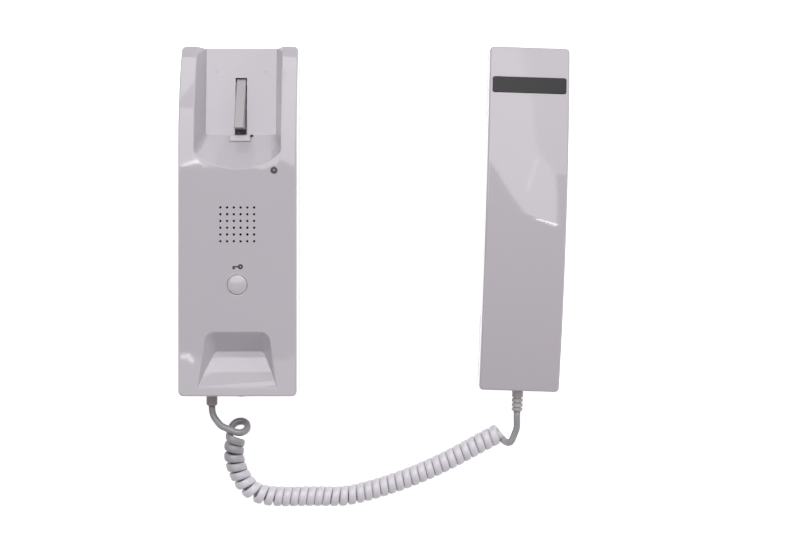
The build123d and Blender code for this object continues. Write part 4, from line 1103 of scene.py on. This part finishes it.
@dataclass
class Handset:
    """The handset: two shells, a bare dark plate, the boot and what sits inside."""

    castings: list[Casting] = field(default_factory=lambda: [
        Casting("handset_outer_shell", "outer_shell", "handset", HANDSET_ABS, "handset_plastic"),
        Casting("handset_inner_shell", "inner_shell", "handset", HANDSET_INNER_ABS, "handset_plastic"),
        Casting("name_plate", "bare_plate", "handset", DARK_FOIL, "plate_label"),
        Casting("handset_boot", "cord_boot", "handset", BOOT_VINYL, "boot_rubber"),
        Casting("handset_screws", "shell_fixings", "handset", PLATED_STEEL, "steel_screw"),
    ])
    inner: dict[str, Finish] = field(default_factory=lambda: {
        "receiver_capsule": BLACK_NYLON,
        "receiver_gasket": FOAM,
        "microphone": DARK_STEEL,
        "microphone_boot": FOAM,
        "handset_weight": DARK_STEEL,
    })

    def build(self) -> None:
        """Builds the handset's pieces."""
        for casting in self.castings:
            casting.build()
        dress_nodes(self.inner)
        HoleRims(
            "receiver_rims", HolePattern.RING, (177.8, 83.95, 0.06), 2.0, 0.08, 6, 5.5, "handset",
            HANDSET_INNER_ABS, "handset_plastic",
        ).build()


def dress_nodes(finishes: dict[str, Finish]) -> None:
    """Gives solids that stay as they are their finishes.

    Args:
        finishes: The finish for each node's name.
    """
    for node, finish in finishes.items():
        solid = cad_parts[node]
        solid.data.materials.clear()
        solid.data.materials.append(material_of(finish))
        log.info("%s: %s", node, finish.name)


@dataclass(frozen=True)
class GlossCloth:
    """A lit cloth over the table, seen in the gloss of the plastic and by nothing else."""

    name: str
    radiance: float
    outline: tuple[Spot, ...]
    height: float = 1.6

    def hang(self) -> None:
        """Stretches the cloth over its outline, facing down."""
        mesh = bpy.data.meshes.new(self.name)
        corners = [(x, y, self.height) for x, y in self.outline]
        mesh.from_pydata(corners, [], [tuple(reversed(range(len(corners))))])
        material = bpy.data.materials.new(self.name + "_glow")
        material.use_nodes = True
        tree = material.node_tree
        tree.nodes.clear()
        glow = add_node(tree, "ShaderNodeEmission", {}, {"Color": WHITE, "Strength": self.radiance})
        add_node(tree, "ShaderNodeOutputMaterial", {}, {"Surface": glow.outputs[0]})
        mesh.materials.append(material)
        cloth = object_from(self.name, mesh)
        for ray in ("camera", "diffuse", "shadow", "transmission"):
            setattr(cloth, "visible_" + ray, False)


# The lit ceiling as the gloss shows it: its near edge crosses the shoulders of the base at one height
# and drops along the handset's arch; narrow gaps of bare lamp run along that edge.
GLOSS_CLOTHS = (
    GlossCloth("ceiling_cloth", 3.8, (
        (-1.2, 0.131), (-0.276, 0.1425), (-0.2333, 0.1529), (-0.1074, 0.157), (-0.0771, 0.143), (0.05, 0.2),
        (0.25, 0.4), (0.2588, 0.374), (0.2762, 0.285), (0.2978, 0.152), (0.311, 0.082), (0.3652, 0.0187),
        (0.374, 0.3215), (0.3607, 0.374), (0.3501, 0.433), (0.3467, 0.522), (0.3542, 0.736), (0.36, 2.7),
        (-1.2, 2.7),
    )),
    GlossCloth("joint_cloth", 1.8, ((-0.322, 0.85), (-0.155, 0.85), (-0.155, 1.85), (-0.322, 1.85)), 1.597),
    GlossCloth("side_cloth", 2.8, (
        (0.374, 0.3215), (1.4, 0.274), (1.4, 2.7), (0.36, 2.7), (0.3542, 0.736), (0.3467, 0.522),
        (0.3501, 0.433), (0.3607, 0.374),
    )),
    GlossCloth("low_cloth", 2.1, (
        (-1.6, -0.6), (0.1, -0.6), (0.1, -0.2), (-0.07, -0.175), (-0.1, -0.19), (-0.2435, -0.188),
        (-0.276, -0.174), (-1.6, -0.17),
    )),
    GlossCloth("shoulder_gap", 15.0, (
        (-0.276, 0.1422), (-0.2333, 0.1522), (-0.2345, 0.1575), (-0.256, 0.1525), (-0.276, 0.1443),
    ), 1.598),
    GlossCloth("handset_gap", 13.0, ((0.322, 0.058), (0.3652, 0.0187), (0.3675, 0.032), (0.345, 0.049)), 1.598),
    GlossCloth("arch_gap", 6.5, ((0.3175, 0.219), (0.321, 0.219), (0.3435, 0.403), (0.3405, 0.403)), 1.598),
    GlossCloth("foot_gap", 9.0, (
        (-0.276, -0.179), (-0.262, -0.176), (-0.253, -0.186), (-0.2435, -0.187), (-0.2435, -0.193),
        (-0.256, -0.193), (-0.264, -0.184), (-0.276, -0.185),
    ), 1.598),
)


@dataclass(frozen=True)
class Lamp:
    """A square soft lamp that faces the middle of the unit and isn't seen in its gloss."""

    name: str
    place: Point
    size: float
    power: float
    aim: Point = (0.06, -0.02, 0.0)

    def hang(self) -> None:
        """Adds the lamp to the scene."""
        data = bpy.data.lights.new(self.name, "AREA")
        data.shape = "SQUARE"
        data.size = self.size
        data.energy = self.power
        lamp = bpy.data.objects.new(self.name, data)
        lamp.location = self.place
        lamp.visible_glossy = False
        lamp.rotation_euler = (Vector(self.aim) - Vector(self.place)).to_track_quat("-Z", "Y").to_euler()
        bpy.context.scene.collection.objects.link(lamp)


LAMPS = (
    Lamp("key", (0.02, 1.15, 1.45), 0.75, 16.0),
    Lamp("fill", (-0.35, -1.3, 1.5), 1.0, 1.5),
    Lamp("bounce", (1.6, 0.05, 0.6), 0.8, 5.0, (0.06, 0.02, 0.0)),
)


@dataclass
class Studio:
    """The white table, the soft light and the camera straight above."""

    camera_place: Point = (0.0988, -0.0286, 0.900)
    lens: float = 64.5
    sensor_width: float = 36.0
    clip: Spot = (0.05, 50.0)
    table_size: float = 8.0
    table_level: float = -0.0003
    table_whiteness: float = 0.88
    table_glow: float = 0.8
    sky_light: float = 0.375
    sky_seen: float = 1.0

    def camera(self) -> None:
        """Sets up the camera that looks straight down."""
        data = bpy.data.cameras.new("camera")
        data.lens = self.lens
        data.sensor_width = self.sensor_width
        data.clip_start, data.clip_end = self.clip
        data.dof.use_dof = False
        holder = bpy.data.objects.new("camera", data)
        holder.location = self.camera_place
        bpy.context.scene.collection.objects.link(holder)
        bpy.context.scene.camera = holder

    def table(self) -> None:
        """Lays the white table under the unit; it keeps a faint shadow."""
        half = self.table_size / 2
        mesh = bpy.data.meshes.new("table")
        square = ((-half, -half), (half, -half), (half, half), (-half, half))
        corners = [(x, y, self.table_level) for x, y in square]
        mesh.from_pydata(corners, [], [(0, 1, 2, 3)])
        material = bpy.data.materials.new("white_table_laminate")
        material.use_nodes = True
        tree = material.node_tree
        tree.nodes.clear()
        grey = (self.table_whiteness,) * 3 + (1.0,)
        sheet = add_node(tree, "ShaderNodeBsdfDiffuse", {}, {"Color": grey})
        seen = self._seen_directly(tree)
        strength = add_node(tree, "ShaderNodeMath", {"operation": "MULTIPLY"}, {0: seen, 1: self.table_glow})
        glow = add_node(tree, "ShaderNodeEmission", {}, {"Color": WHITE, "Strength": strength.outputs[0]})
        both = add_node(tree, "ShaderNodeAddShader", {}, {0: sheet.outputs[0], 1: glow.outputs[0]})
        add_node(tree, "ShaderNodeOutputMaterial", {}, {"Surface": both.outputs[0]})
        top = object_from("table", mesh)
        mesh.materials.append(material)

    @staticmethod
    def _seen_directly(tree: bpy.types.NodeTree) -> bpy.types.NodeSocket:
        """Gives one for rays from the camera, a reflection or a clear piece, and nought for the rest."""
        path = add_node(tree, "ShaderNodeLightPath").outputs
        first = add_node(
            tree, "ShaderNodeMath", {"operation": "MAXIMUM"}, {0: path["Is Camera Ray"], 1: path["Is Glossy Ray"]}
        )
        both = add_node(
            tree, "ShaderNodeMath", {"operation": "MAXIMUM"},
            {0: first.outputs[0], 1: path["Is Transmission Ray"]},
        )
        return both.outputs[0]

    def light(self) -> None:
        """Hangs a large soft lamp towards the top end, two weak ones, the gloss cloths and an even sky."""
        for source in (*LAMPS, *GLOSS_CLOTHS):
            source.hang()
        world = bpy.data.worlds.new("studio_sky")
        bpy.context.scene.world = world
        world.use_nodes = True
        tree = world.node_tree
        tree.nodes.clear()
        seen = self._seen_directly(tree)
        even = add_node(tree, "ShaderNodeBackground", {}, {"Color": WHITE, "Strength": self.sky_light})
        white = add_node(tree, "ShaderNodeBackground", {}, {"Color": WHITE, "Strength": self.sky_seen})
        mixed = add_node(tree, "ShaderNodeMixShader", {}, {0: seen, 1: even.outputs[0], 2: white.outputs[0]})
        add_node(tree, "ShaderNodeOutputWorld", {}, {"Surface": mixed.outputs[0]})


def main() -> None:
    """Builds the scene: camera and cord first, then the base, the handset and the studio."""
    logging.basicConfig(level=logging.INFO, format="%(name)s: %(message)s")
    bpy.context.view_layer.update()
    bpy.context.scene.view_settings.view_transform = "Standard"
    studio = Studio()
    studio.camera()
    CurlyCord().build()
    Base().build()
    Handset().build()
    studio.table()
    studio.light()


if __name__ == "__main__":
    main()
